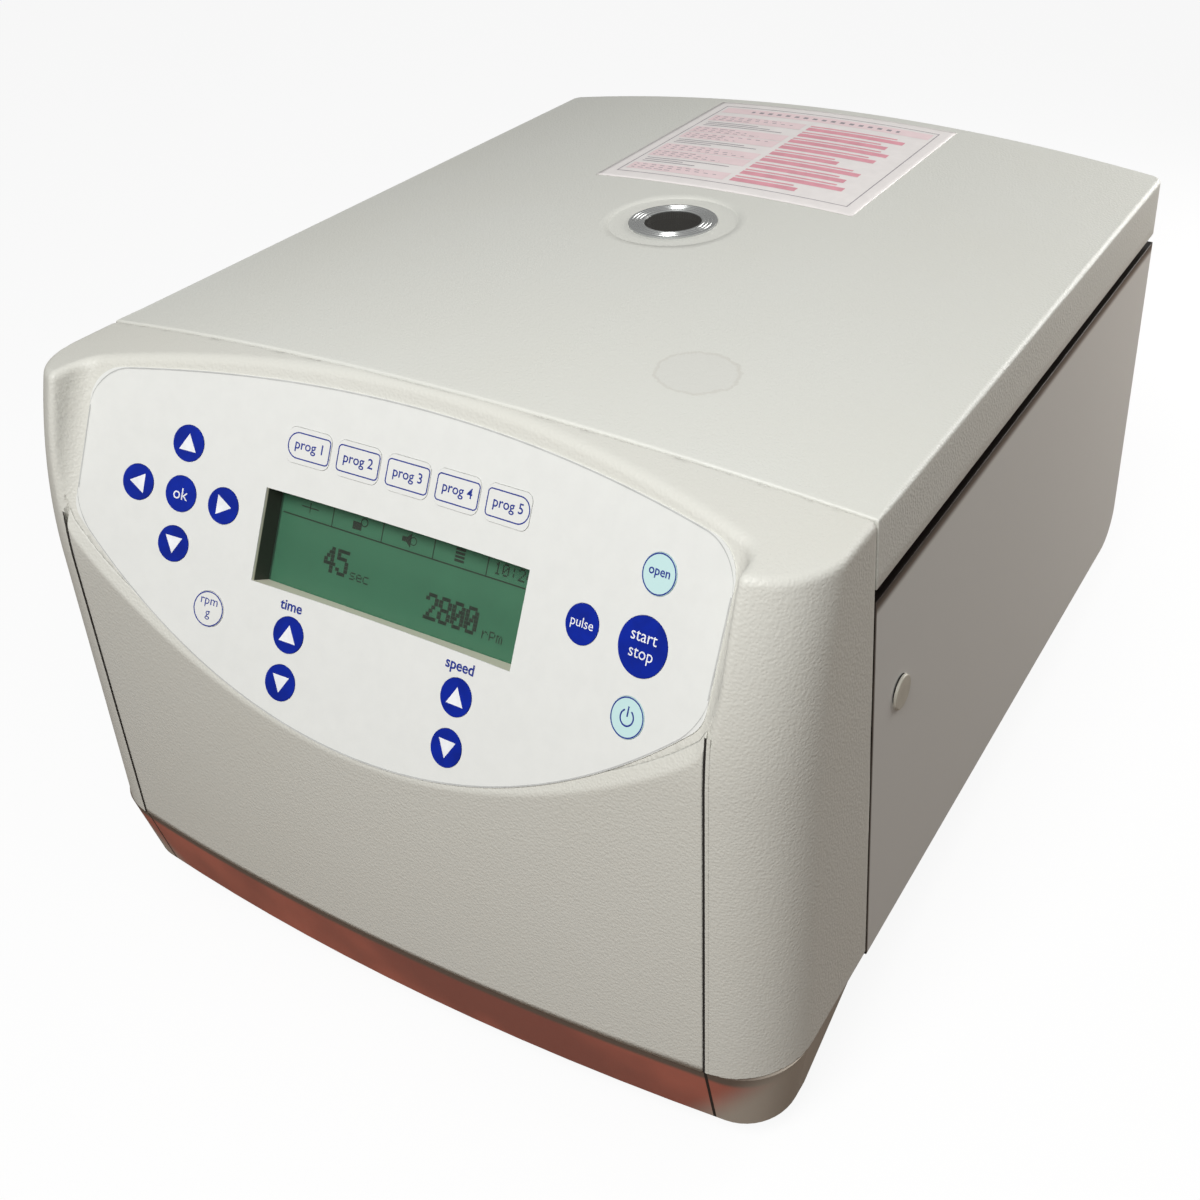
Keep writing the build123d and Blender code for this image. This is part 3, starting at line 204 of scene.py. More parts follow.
def grid_crossings(field, low, high, step):
    """Points where the edges of a grid cross the surface (N x 3), and for each the four cells round its edge.

    A crossing divides its edge as the field's values at the two ends do; the cells are in outward order.
    """
    axes = [np.arange(a, b + step, step) for a, b in zip(low, high)]
    f = field(*np.meshgrid(*axes, indexing="ij"))
    start = np.array([a[0] for a in axes])
    size = np.array(f.shape)
    inside = f < 0
    basis = np.eye(3, dtype=int)
    cells, spots = [], []
    for axis in range(3):
        ahead = np.arange(1, size[axis])
        g = np.argwhere(np.take(inside, ahead - 1, axis) != np.take(inside, ahead, axis))
        b, c = basis[(axis + 1) % 3], basis[(axis + 2) % 3]
        g = g[((g @ b) > 0) & ((g @ c) > 0)]
        f0, f1 = f[tuple(g.T)], f[tuple((g + basis[axis]).T)]
        spots.append((g + (f0 / (f0 - f1))[:, None] * basis[axis]) * step + start)
        ring = np.stack([np.ravel_multi_index((g - m).T, size) for m in (0 * b, b, b + c, c)], -1)
        cells.append(np.where((f0 < 0)[:, None], ring, ring[:, ::-1]))
    return np.concatenate(spots), np.concatenate(cells)


def meeting_points(field, spots, faces, step):
    """One point per cell, where the tangent planes of its crossings meet, by least squares with a light pull to
    their mean; this keeps corners sharp. The point then moves along the gradient onto the surface."""
    normal = unit(slope(field, spots))
    cells = faces.max() + 1

    def gather(values):
        """Sum over each cell of its crossings' values."""
        return np.bincount(faces.ravel(), np.repeat(values, 4), cells)

    def gather_rows(rows):
        """The same for several rows of values, side by side."""
        return np.stack([gather(row) for row in rows], -1)

    count = gather(np.ones(len(spots)))
    mean = gather_rows(spots.T) / count[:, None]
    pull = 0.08
    matrix = np.stack([gather_rows(normal[:, a] * row for row in normal.T) for a in range(3)], 1)
    matrix += pull * count[:, None, None] * np.eye(3)
    offset = (normal * spots).sum(1)
    right = gather_rows(row * offset for row in normal.T) + pull * count[:, None] * mean
    points = mean + at_most(np.linalg.solve(matrix, right[..., None])[..., 0] - mean, step)
    for _ in range(4):
        g = slope(field, points)
        points -= at_most(field(*points.T)[:, None] * g / np.maximum((g**2).sum(1), 0.05)[:, None], 0.5 * step)
    return points


def field_mesh(name, field, low, high, step):
    """Surface where field(x, y, z) is zero: one quad for each grid edge that crosses it, with a shared vertex in
    each cell round a crossing.

    A corner takes the gradient as its normal where its face agrees with it, and the face's own along sharp edges.
    """
    spots, cells = grid_crossings(field, low, high, step)
    faces = np.unique(cells, return_inverse=True)[1].reshape(cells.shape)
    points = meeting_points(field, spots, faces, step)
    corner = unit(slope(field, points))[faces]
    obj = quad_mesh(name, points, faces)
    flat = np.zeros(len(faces) * 3)
    obj.data.polygons.foreach_get("normal", flat)
    flat = np.broadcast_to(flat.reshape(-1, 1, 3), (len(faces), 4, 3))
    agree = (corner * flat).sum(-1, keepdims=True) > 0.85
    obj.data.normals_split_custom_set(np.where(agree, corner, flat).reshape(-1, 3).tolist())
    return obj


# ------------------------------------------------------------------ fields of the front moulding


def plan_field(x, y, z):
    """Distance outside the front's plan outline: a bowed arc that leans back with height, two straight sides
    and corners of radius CORNER_R."""
    front = np.hypot(x, y - (FRONT_Y + lean(z) + BOW_R)) - BOW_R
    return round_max(front, np.abs(x) - side_x(z), CORNER_R)


def crown_field(x, z):
    """Distance outside the crown's circle."""
    return np.hypot(x, z - (HEIGHT - CROWN_R)) - CROWN_R


def crease_field(x, y):
    """Distance behind the parting line between front moulding and lid, an arc that bows forward."""
    return CREASE_R - np.hypot(x, y - (CREASE_Y - CREASE_GAP - CREASE_BOW + CREASE_R))


def panel_yz(v, w):
    """y and z of the point v up the slope and w out from the control panel's lowest line."""
    return PANEL_Y + v * PANEL_UP[1] + w * PANEL_OUT[1], PANEL_Z + v * PANEL_UP[2] + w * PANEL_OUT[2]


def recess_field(x, y, z, inset):
    """Negative in the room in front of the control panel: inside a cylinder along the slope and between two
    flared end walls, with a fillet between them. Returns v up the slope and w out from the panel as well."""
    v = (y - PANEL_Y) * PANEL_UP[1] + (z - PANEL_Z) * PANEL_UP[2]
    w = (y - PANEL_Y) * PANEL_OUT[1] + (z - PANEL_Z) * PANEL_OUT[2]
    trough = np.hypot(x, w - PANEL_R) - (PANEL_R + inset)
    foot = PANEL_R - math.sqrt(PANEL_R**2 - PANEL_WALL_X**2)
    wall = (np.abs(x) - PANEL_WALL_X - inset - (w - foot) * WALL_FLARE) * WALL_COS
    return round_max(trough, wall, PANEL_FILLET + inset), v, w


def bezel_field(x, y, z):
    """Shell of the front moulding: plan outline, crown and parting line rolled together, less the recess and the
    rooms over the deck, behind the cover and for the display."""
    recess, v, w = recess_field(x, y, z, OVERLAY_T)
    plan = plan_field(x, y, z)
    body = round_max(plan, crown_field(x, z), CROWN_ROLL)
    body = round_max(body, -recess, PANEL_ROLL)
    body = round_max(body, crease_field(x, y), CREASE_ROLL)
    across = np.abs(x)
    over_deck = np.maximum(across - DECK_HALF, np.maximum(DECK_Y - y, z - DECK_Z))
    room = np.maximum(across - ROOM_HALF, np.maximum(y - ROOM_Y, z - ROOM_Z))
    cover = np.maximum(room, -(plan + COVER_WALL + 0.03))
    behind = np.maximum(room, np.maximum(-(plan + ROOM_WALL), PANEL_WALL - recess))
    window = np.maximum(np.abs(x - WINDOW_U) - WINDOW_WIDE, np.abs(v - WINDOW_V) - WINDOW_HIGH)
    shell = np.maximum(body, -(body + BEZEL_WALL))
    for taken_out in (over_deck, cover, behind, np.maximum(window, -WINDOW_DEEP - w)):
        shell = np.maximum(shell, -taken_out)
    return np.maximum(shell, SEAM_Z - z)


def zero_of(field, low, high):
    """Where a rising field crosses zero between low and high, by bisection."""
    for _ in range(40):
        middle = (low + high) / 2
        over = field(middle) > 0
        low, high = np.where(over, low, middle), np.where(over, middle, high)
    return low


def cover_profile(x, inset=0.0):
    """Closed ring of (y, z) points of the front cover at each x, taken in by inset: up the face, over the
    rounded bend, back along the rim that lies in the control panel's plane, and down the inner side."""

    def over_recess(w):
        """Below zero while the point w out from the panel's lowest line is behind the recess."""
        return -recess_field(x, *panel_yz(0.0, w), OVERLAY_T + inset)[0]

    depth = zero_of(over_recess, np.full_like(x, -12.0), np.full_like(x, 30.0))

    def face_y(z, d):
        """The bowed face at height z, taken in by d."""
        return FRONT_Y + d + lean(z) + BOW_R - np.sqrt(BOW_R**2 - x**2)

    def rim_v(d):
        """How far up the slope the rim meets the face taken in by d."""

        def outside(v):
            """How far the point v up the slope is behind the face."""
            y, z = panel_yz(v, depth)
            return y - face_y(z, d)

        return zero_of(outside, np.full_like(x, -140.0), np.full_like(x, 30.0))

    bend, end = rim_v(inset), rim_v(COVER_WALL - inset)
    corner_z = panel_yz(bend, depth)[1]
    foot = SEAM_Z + inset
    rows = []
    for t in np.linspace(0, 1, 70) ** 0.9:
        z = foot + t * (corner_z - COVER_ROLL - foot)
        rows.append((face_y(z, inset), z))
    start = rows[-1]
    corner = panel_yz(bend, depth)
    finish = panel_yz(bend + COVER_ROLL, depth)
    for t in np.linspace(0, 1, 9)[1:]:
        rows.append(tuple((1 - t) ** 2 * p + 2 * t * (1 - t) * q + t * t * r
                          for p, q, r in zip(start, corner, finish)))
    for t in (0.4, 0.8, 1.0):
        rows.append(panel_yz(bend + COVER_ROLL + t * np.maximum(end - bend - COVER_ROLL, 0.0), depth))
    top = rows[-1][1]
    for t in np.linspace(0, 1, 14)[1:]:
        z = top + t * (foot - top)
        rows.append((face_y(z, COVER_WALL - inset), z))
    return np.array(rows)


def lid_outline(inset):
    """Plan of the lid taken in by inset: bowed front, straight sides, rear corners of radius 5 (N x 2)."""
    half = LID_HALF - inset
    corner = max(5.0 - inset, 0.3)
    rear = LID_REAR_Y - inset
    # points close to the two front corners keep them crisp
    x = half * np.concatenate([[-1.0], np.linspace(-0.998, 0.998, 140), [1.0]])
    front = path(x, CREASE_Y + CREASE_GAP + inset - CREASE_BOW + CREASE_R - np.sqrt(CREASE_R**2 - x**2))
    side_y = np.linspace(front[-1, 1] + 2.5, rear - corner, 110)
    side = path(half, np.concatenate([[front[-1, 1] + 0.32], side_y]))
    bend = [half - corner, rear - corner] + corner * ways(np.linspace(0, math.pi / 2, 12)[1:])
    back = path(np.linspace(half - corner, 0, 70)[1:], rear)
    right = np.concatenate([side, bend, back])
    left = right[::-1][1:-1] * np.array([-1.0, 1.0])
    return np.concatenate([front, right, left])


# ------------------------------------------------------------------ materials


def linear(code):
    """sRGB hex to linear RGBA; a colour that is linear already passes through."""
    if not isinstance(code, str):
        return (*code[:3], 1.0)
    c = np.array([int(code[i : i + 2], 16) for i in (0, 2, 4)]) / 255
    c = np.where(c > 0.04045, ((c + 0.055) / 1.055) ** 2.4, c / 12.92)
    return (*c.tolist(), 1.0)


def add_node(tree, kind, inputs=None, **settings):
    """Adds a shader node with its settings; inputs maps a socket to a value or to another node's output."""
    node = tree.nodes.new("ShaderNode" + kind)
    for key, value in settings.items():
        setattr(node, key, value)
    for key, value in (inputs or {}).items():
        if isinstance(value, bpy.types.NodeSocket):
            tree.links.new(value, node.inputs[key])
        else:
            node.inputs[key].default_value = value
    return node


def new_material(name, colour, roughness, **sockets):
    """A material with one Principled shader set to a base colour, a roughness and other socket values."""
    material = bpy.data.materials.new(name)
    material.use_nodes = True
    inputs = shader_of(material)[1].inputs
    inputs["Base Color"].default_value = linear(colour)
    inputs["Roughness"].default_value = roughness
    for key, value in sockets.items():
        inputs[key.replace("_", " ")].default_value = value
    return material


def shader_of(material):
    """A material's node tree and its Principled shader."""
    return material.node_tree, material.node_tree.nodes["Principled BSDF"]


def place(tree):
    """Object coordinates, in metres."""
    return add_node(tree, "TexCoord").outputs["Object"]


def drive(material, socket, output):
    """Links an output to one of the shader's sockets; returns the material."""
    tree, shader = shader_of(material)
    tree.links.new(output, shader.inputs[socket])
    return material


def grain(material, size_mm, height_mm, strength):
    """Fine relief: noise with bumps of size_mm, height_mm high, into the shader's normal."""
    tree = material.node_tree
    noise = add_node(tree, "TexNoise", {"Vector": place(tree), "Scale": 1 / (size_mm * MM), "Detail": 2.0})
    bump = add_node(tree, "Bump", {"Height": noise.outputs["Fac"], "Distance": height_mm * MM, "Strength": strength})
    return drive(material, "Normal", bump.outputs["Normal"])


def mottle(material, dark, light, size_mm):
    """Slow colour change from dark to light over patches of size_mm."""
    tree = material.node_tree
    noise = add_node(tree, "TexNoise", {"Vector": place(tree), "Scale": 1 / (size_mm * MM), "Detail": 4.0,
                                        "Roughness": 0.6})
    spread = add_node(tree, "MapRange", {"Value": noise.outputs["Fac"], "From Min": 0.35, "From Max": 0.65})
    mix = add_node(tree, "Mix", {0: spread.outputs["Result"], 6: linear(dark), 7: linear(light)}, data_type="RGBA")
    return drive(material, "Base Color", mix.outputs[2])


def ramp(tree, value, low, high, first, second):
    """Mixes from first to second as value goes from low to high; first and second are colours or outputs."""
    share = add_node(tree, "MapRange", {"Value": value, "From Min": low, "From Max": high},
                     interpolation_type="SMOOTHSTEP")
    ends = [v if isinstance(v, bpy.types.NodeSocket) else linear(v) for v in (first, second)]
    return add_node(tree, "Mix", {0: share.outputs["Result"], 6: ends[0], 7: ends[1]}, data_type="RGBA").outputs[2]


# ------------------------------------------------------------------ pieces from the frame

BODY_OF = {node: body for body, nodes in frame["record"]["behaviour"]["bodies"].items() for node in nodes}


def dress(obj, material):
    """Gives an object one finish."""
    obj.data.materials.clear()
    obj.data.materials.append(material)
    return obj


def finish_nodes(material, *names):
    """Gives frame nodes their finish."""
    for name in names:
        dress(frame["nodes"][name], material)


def settle(obj, body, *nodes):
    """Rides on a body and, where nodes are named, stands for them."""
    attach(obj, body)
    if nodes:
        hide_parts(*nodes)


def soften(name, material, width_mm, segments=2, roll_of=None):
    """A copy of a frame node with its sharp edges rolled over; it stands for the node.

    roll_of takes an edge's two ends (mm) and gives the roll of that edge in millimetres, up to width_mm.
    """
    flat_deg, sharp_deg = 0.4, 35.0
    obj = link(name + "_skin", frame["nodes"][name].data.copy())
    bm = bmesh.new()
    bm.from_mesh(obj.data)
    bmesh.ops.remove_doubles(bm, verts=bm.verts, dist=2e-5)
    bmesh.ops.dissolve_limit(bm, angle_limit=math.radians(flat_deg), verts=bm.verts, edges=bm.edges)
    layer = bm.edges.layers.float.new("bevel_weight_edge")
    for edge in bm.edges:
        if edge.is_manifold and edge.calc_face_angle() > math.radians(sharp_deg):
            ends = [np.array(v.co) / MM for v in edge.verts]
            edge[layer] = roll_of(*ends) / width_mm if roll_of else 1.0
    bm.to_mesh(obj.data)
    bm.free()
    obj.data.polygons.foreach_set("use_smooth", np.ones(len(obj.data.polygons), bool))
    bevel = obj.modifiers.new("Rolled edges", "BEVEL")
    bevel.width = width_mm * MM
    bevel.segments = segments
    bevel.limit_method = "WEIGHT"
    normals = obj.modifiers.new("Flat faces", "WEIGHTED_NORMAL")
    normals.weight = 100
    settle(dress(obj, material), BODY_OF[name], name)


def side_roll(a, b):
    """Roll of a side panel's edge between a and b: bent over at the top, less along the front, bottom and rear,
    and all but sharp on the inner side."""
    inner, front, other, rear_band = 0.3, 2.0, 1.8, 27
    x, y, z = (a + b) / 2
    if any(abs(abs(p[0]) - side_x(p[2]) + SIDE_INSET) >= 0.1 for p in (a, b)):
        return inner
    if z > SIDE_TOP - 0.5:
        return SIDE_ROLL
    if y < SIDE_FRONT + 0.5:
        return front
    return other if y > DEPTH / 2 - rear_band or z < SIDE_LOW + 0.5 else inner


# ------------------------------------------------------------------ print: flat shapes laid on a surface


def text_shape(words, size, x=0.0, y=0.0, bold=0.0):
    """Letters of the built-in font as flat polygons, centred on (x, y), in millimetres."""
    curve = bpy.data.curves.new("letters", "FONT")
    curve.body = words
    curve.size = size
    curve.offset = bold
    curve.align_x = "CENTER"
    curve.align_y = "CENTER"
    curve.resolution_u = 3
    holder = link("letters", curve)
    mesh = bpy.data.meshes.new_from_object(holder.evaluated_get(bpy.context.evaluated_depsgraph_get()))
    points = np.zeros(len(mesh.vertices) * 3)
    mesh.vertices.foreach_get("co", points)
    points = points.reshape(-1, 3)[:, :2]
    faces = [tuple(p.vertices) for p in mesh.polygons]
    points = points - (points.min(0) + points.max(0)) / 2 + np.array([x, y])
    bpy.data.objects.remove(holder)
    bpy.data.meshes.remove(mesh)
    return points, faces


def strip_shape(inner, outer, closed=False):
    """Band between two rows of points, as one quad for each step along them."""
    n = len(inner)
    i = np.arange(n if closed else n - 1)
    j = (i + 1) % n
    return np.concatenate([inner, outer]), np.stack([i, j, j + n, i + n], -1).tolist()


def ring_shape(x, y, radius, line):
    """Circle round (x, y), drawn as a line inside its radius."""
    way = ways(np.linspace(0, math.tau, 65)[:-1])
    return strip_shape(way * (radius - line) + [x, y], way * radius + [x, y], closed=True)


def key_outline(w, h, left, right, inset=0.0):
    """Corner points of a box w x h whose left and right corners have their own radii, taken in by inset."""
    rows = []
    for cx, cy, r, start in ((1, 1, right, 0), (-1, 1, left, 90), (-1, -1, left, 180), (1, -1, right, 270)):
        turn = np.radians(start + np.linspace(0, 90, 9))
        rows.append([cx * (w / 2 - r), cy * (h / 2 - r)] + (r - inset) * ways(turn))
    return np.concatenate(rows)


def poly_shape(points):
    """One flat face from its corners in order."""
    return np.array(points, float), [tuple(range(len(points)))]


def box_shape(x0, y0, x1, y1):
    """A box cut across x into pieces of 5 mm at most, so that it follows a curved surface."""
    x = np.linspace(x0, x1, math.ceil((x1 - x0) / 5.0) + 1)
    return strip_shape(path(x, y0), path(x, y1))


def arrow_shape(turn_deg):
    """Equal-sided arrowhead that points up at no turn, 4.2 mm from its middle to its corners and set back 0.6."""
    turn = np.radians(turn_deg + np.array([90, 210, 330]))
    return poly_shape(4.2 * ways(turn) - 0.6 * ways(turn[0]))


# rows of dots of each letter on the display, from the top, each row from the left
DOT_LETTERS = {
    "0": "01110 10001 10011 10101 11001 10001 01110", "1": "00100 01100 00100 00100 00100 00100 01110",
    "2": "01110 10001 00001 00010 00100 01000 11111", "4": "00010 00110 01010 10010 11111 00010 00010",
    "5": "11111 10000 11110 00001 00001 10001 01110", "8": "01110 10001 10001 01110 10001 10001 01110",
    ":": "00000 00100 00100 00000 00100 00100 00000", "s": "00000 00000 01111 10000 01110 00001 11110",
    "r": "00000 00000 10110 11001 10000 10000 10000", "p": "00000 11110 10001 10001 11110 10000 10000",
    "m": "00000 00000 11010 10101 10101 10101 10101", "e": "00000 00000 01110 10001 11111 10000 01111",
    "c": "00000 00000 01111 10000 10000 10000 01111",
}


def dot_text(words, x, y, dot_w, dot_h, wide=0.94):
    """Letters of display dots, five across and seven high, from the lower left corner (x, y); wide is a dot's
    share of its place across."""
    high, dots = 0.94, []
    for n, letter in enumerate(words):
        for row, bits in enumerate(DOT_LETTERS[letter].split()):
            dots += [(x + (n * 6 + col) * dot_w, y + (6 - row) * dot_h) for col, bit in enumerate(bits) if bit == "1"]
    corners = np.array([(0, 0), (wide * dot_w, 0), (wide * dot_w, high * dot_h), (0, high * dot_h)])
    points = (np.array(dots)[:, None] + corners).reshape(-1, 2)
    return points, np.arange(len(points)).reshape(-1, 4).tolist()


def print_mesh(name, shapes, lay, material, body):
    """Lays flat shapes on a surface; lay maps x and y in millimetres to points."""
    points, faces, start = [], [], 0
    for p, f in shapes:
        points.append(p)
        faces += [tuple(i + start for i in face) for face in f]
        start += len(p)
    flat = np.concatenate(points)
    mesh = bpy.data.meshes.new(name)
    mesh.from_pydata((lay(flat[:, 0], flat[:, 1]) * MM).tolist(), [], faces)
    mesh.update()
    obj = dress(link(name, mesh), material)
    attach(obj, body)
    return obj


# ------------------------------------------------------------------ settings


def colour_prop(name, code, description):
    """A colour whose default is a hex code."""
    return bpy.props.FloatVectorProperty(name=name, description=description, subtype="COLOR", size=4, min=0, max=1,
                                         default=linear(code))


def length_prop(name, default, low, high, description):
    """A length whose default and limits are given in millimetres."""
    return bpy.props.FloatProperty(name=name, description=description, default=default * MM, min=low * MM,
                                   max=high * MM, unit="LENGTH")


def power_prop(name, default, description):
    """A lamp's power in watts."""
    return bpy.props.FloatProperty(name=name, description=description, default=default, min=0, max=1000, unit="POWER")


class CentrifugeForm(bpy.types.PropertyGroup):
    """Sizes that a user would change."""

    skin_step: length_prop("Skin step", 1.6, 0.8, 4, "Grid spacing of the front moulding's skin")
    lid_roll: length_prop("Lid edge", 2.2, 0.5, 4, "Radius of the lid's side and rear edges")
    ink_lift: length_prop("Ink lift", 0.04, 0.01, 0.2, "Height of print above its surface")


class CentrifugeColours(bpy.types.PropertyGroup):
    """Colours of the main finishes."""

    moulding: colour_prop("Moulding", "d6d7d2", "Textured plastic of the lid")
    front: colour_prop("Front", "d4d4ce", "Textured plastic of the front moulding and cover")
    side: colour_prop("Side panels", "d3d4d1", "Satin paint of the sheet metal")
    # the base's red-brown is a painted reflection of the bench; its plastic is grey-beige
    base: colour_prop("Base", "c06d5b", "Tinted plastic of the base")
    keypad: colour_prop("Keypad film", "e1e2df", "White polyester film")
    key: colour_prop("Blue keys", "001f8c", "Printed blue of the round keys")
    display: colour_prop("Display", "33664b", "Backlit display")
    label: colour_prop("Label print", "e9a3b0", "Pink bars of the chart on the lid")


class CentrifugeStage(bpy.types.PropertyGroup):
    """Camera and light."""

    lens: bpy.props.FloatProperty(name="Lens", description="Focal length on a 36 mm wide sensor, in millimetres",
                                  default=41.01, min=10, max=200)
    key_power: power_prop("Key lamp", 12.9, "Power of the large lamp above the front")
    fill_power: power_prop("Fill lamp", 4.5, "Power of the lamp behind the right side")
    sky: bpy.props.FloatProperty(name="Sky", description="Strength of the soft light from above", default=0.3,
                                 min=0, max=3)


def form():
    """The sizes as they are set now."""
    return bpy.context.scene.centrifuge_form


def colours():
    """The colours as they are set now."""
    return bpy.context.scene.centrifuge_colours


# ------------------------------------------------------------------ finishes


def textured_abs(name, colour):
    """Injection-moulded ABS from a spark-eroded mould: a fine matt grain of about 0.9 mm that breaks the
    highlights, with the slow yellowing of an older housing. Returns the material and its colour output."""
    material = new_material(name, colour, 0.47)
    tree = material.node_tree
    base = linear(colour)
    warm = [c * k for c, k in zip(base, (0.97, 0.955, 0.92, 1.0))]
    noise = add_node(tree, "TexNoise", {"Vector": place(tree), "Scale": 9.0, "Detail": 5.0, "Roughness": 0.6})
    mix = add_node(tree, "Mix", {0: noise.outputs["Fac"], 6: warm, 7: base}, data_type="RGBA")
    drive(material, "Base Color", mix.outputs[2])
    # the real grain is finer; this is as coarse as it needs to be to show
    pits = add_node(tree, "TexVoronoi", {"Vector": place(tree), "Scale": 1 / (0.9 * MM)}, feature="SMOOTH_F1")
    bump = add_node(tree, "Bump", {"Height": pits.outputs["Distance"], "Distance": 0.16 * MM, "Strength": 0.9})
    return drive(material, "Normal", bump.outputs["Normal"]), mix.outputs[2]


def cup_ring(material, colour, x, y, radius):
    """Faint ring left by something round that stood on the surface at (x, y), broken up and fainter inside:
    three ramps on the distance from its middle, with noise added. Lengths in metres."""
    tree = material.node_tree
    shift = add_node(tree, "VectorMath", {0: place(tree), 1: (-x, -y, 0.0)})
    flat = add_node(tree, "VectorMath", {0: shift.outputs[0], 1: (1.0, 1.0, 0.0)}, operation="MULTIPLY")
    away = add_node(tree, "VectorMath", {0: flat.outputs[0]}, operation="LENGTH")
    noise = add_node(tree, "TexNoise", {"Vector": place(tree), "Scale": 260.0, "Detail": 4.0})
    wobble = add_node(tree, "Math", {0: noise.outputs["Fac"], 1: 0.004, 2: away.outputs["Value"]},
                      operation="MULTIPLY_ADD").outputs[0]
    radius = radius + 0.002
    inside = ramp(tree, wobble, radius - 0.0006, radius + 0.0004, "d2d2cc", colour)
    ring = ramp(tree, wobble, radius - 0.0012, radius - 0.0004, inside, "cccbc4")
    drive(material, "Base Color", ramp(tree, wobble, radius, radius + 0.0009, ring, colour))


def satin_paint(name, colour):
    """Powder-coated steel sheet: satin, with an orange peel of about 1.5 mm that wavers the reflections."""
    return grain(new_material(name, colour, 0.3), 1.5, 0.012, 0.6)


def side_paint(colour):
    """Paint of the side panels, with painted shadow where they turn in under the lid and beside the
    front moulding."""
    material = satin_paint("powder-coated side steel with painted shadow", colour)
    tree = material.node_tree
    axes = add_node(tree, "SeparateXYZ", {0: place(tree)})
    top, front = SIDE_TOP * MM, SIDE_FRONT * MM
    # painted shadow of the lid's skirt: darker over the last 6 mm below the panel's top
    shade = ramp(tree, axes.outputs["Z"], top - 0.0060, top - 0.0024, colour, "51463f")
    shade = ramp(tree, axes.outputs["Z"], top - 0.0026, top - 0.0010, shade, "1d1815")
    # painted shadow in the gap beside the front moulding
    shade = ramp(tree, axes.outputs["Y"], front + 0.0005, front + 0.0016, "2b2521", shade)
    return drive(material, "Base Color", shade)


def plain(name, colour, roughness, size_mm=0.6, height_mm=0.02, cloud=0.86, **sockets):
    """Moulded or cast piece with a fine grain and a slight cloudiness: cloud is its darkest share of the colour."""
    material = new_material(name, colour, roughness, **sockets)
    base = linear(colour)
    mottle(material, [c * cloud for c in base[:3]], base, 7.0)
    return grain(material, size_mm, height_mm, 0.7)


def base_plastic(colour):
    """Moulded base: a painted red-brown reflection of the bench along the front, a painted shadow along the top
    under the cover, beige towards the two corners, and the cover's slits carried down across it. Each ramp
    starts and ends at two places, in metres."""
    lip_shadow, corner, flank, slit, before = (0.0405, 0.0435), (0.112, 0.131), (-0.165, -0.14), (5e-4, 7e-4), (-0.152, -0.15)
    slant, slit_x = -0.75, COVER_HALF * MM + 0.0006
    material = new_material("base plastic with painted reflection", colour, 0.4)
    tree = material.node_tree
    axes = add_node(tree, "SeparateXYZ", {0: place(tree)})
    noise = add_node(tree, "TexNoise", {"Vector": place(tree), "Scale": 14.0, "Detail": 3.0})
    out = add_node(tree, "Math", {0: axes.outputs["X"]}, operation="ABSOLUTE").outputs[0]
    # the red-brown and its darker mottle are a painted reflection of the bench; the plastic is grey-beige like the
    # corners
    reflection_and_shade = ramp(tree, noise.outputs["Fac"], 0.35, 0.65, colour, "97584c")
    # painted shadow of the front's overhang along the top of the band
    reflection_and_shade = ramp(tree, axes.outputs["Z"], *lip_shadow, reflection_and_shade, "675a50")
    # the edge of the painted reflection slants: further out at the top of the band
    edge = add_node(tree, "Math", {0: axes.outputs["Z"], 1: slant, 2: out}, operation="MULTIPLY_ADD")
    reflection_and_shade = ramp(tree, edge.outputs[0], *corner, reflection_and_shade, "b3aa9e")
    reflection_and_shade = ramp(tree, axes.outputs["Y"], *flank, reflection_and_shade, "a9a298")
    off = add_node(tree, "Math", {0: out, 1: -slit_x}, operation="ADD")
    near = add_node(tree, "Math", {0: off.outputs[0]}, operation="ABSOLUTE")
    dark = ramp(tree, near.outputs[0], *slit, "0b0a0a", reflection_and_shade)
    drive(material, "Base Color", ramp(tree, axes.outputs["Y"], *before, dark, reflection_and_shade))
    return grain(material, 1.0, 0.03, 0.6)


def frame_plastic():
    """Cream moulded frame of the display, with painted shade on its left inner wall."""
    cream, left = "dcd8c6", -0.0554
    material = new_material("cream moulded frame with painted shade", cream, 0.45)
    tree = material.node_tree
    spot = place(tree)
    across = add_node(tree, "SeparateXYZ", {0: spot}).outputs["X"]
    out = add_node(tree, "VectorMath", {0: spot, 1: tuple(PANEL_OUT)}, operation="DOT_PRODUCT").outputs["Value"]
    floor = (PANEL_Y * PANEL_OUT[1] + PANEL_Z * PANEL_OUT[2]) * MM
    # painted shade on the left inner wall of the display's window
    wall = ramp(tree, out, floor + 0.0009, floor + 0.0014, "34352f", cream)
    drive(material, "Base Color", ramp(tree, across, left - 0.0002, left + 0.0002, wall, cream))
    return grain(material, 0.8, 0.02, 0.6)


def brushed(name, colour, roughness, stretch=(4.0, 900.0, 900.0)):
    """Brushed or rolled metal: fine scratches that run one way, from noise drawn out by stretch."""
    material = new_material(name, colour, roughness, Metallic=1.0)
    tree = material.node_tree
    lines = add_node(tree, "Mapping", {"Vector": place(tree), "Scale": stretch})
    noise = add_node(tree, "TexNoise", {"Vector": lines.outputs["Vector"], "Scale": 1.0, "Detail": 3.0}).outputs["Fac"]
    bump = add_node(tree, "Bump", {"Height": noise, "Distance": 0.02 * MM, "Strength": 0.5})
    drive(material, "Normal", bump.outputs["Normal"])
    rough = add_node(tree, "MapRange", {"Value": noise, "To Min": roughness - 0.08, "To Max": roughness + 0.14})
    return drive(material, "Roughness", rough.outputs["Result"])


# ------------------------------------------------------------------ operators


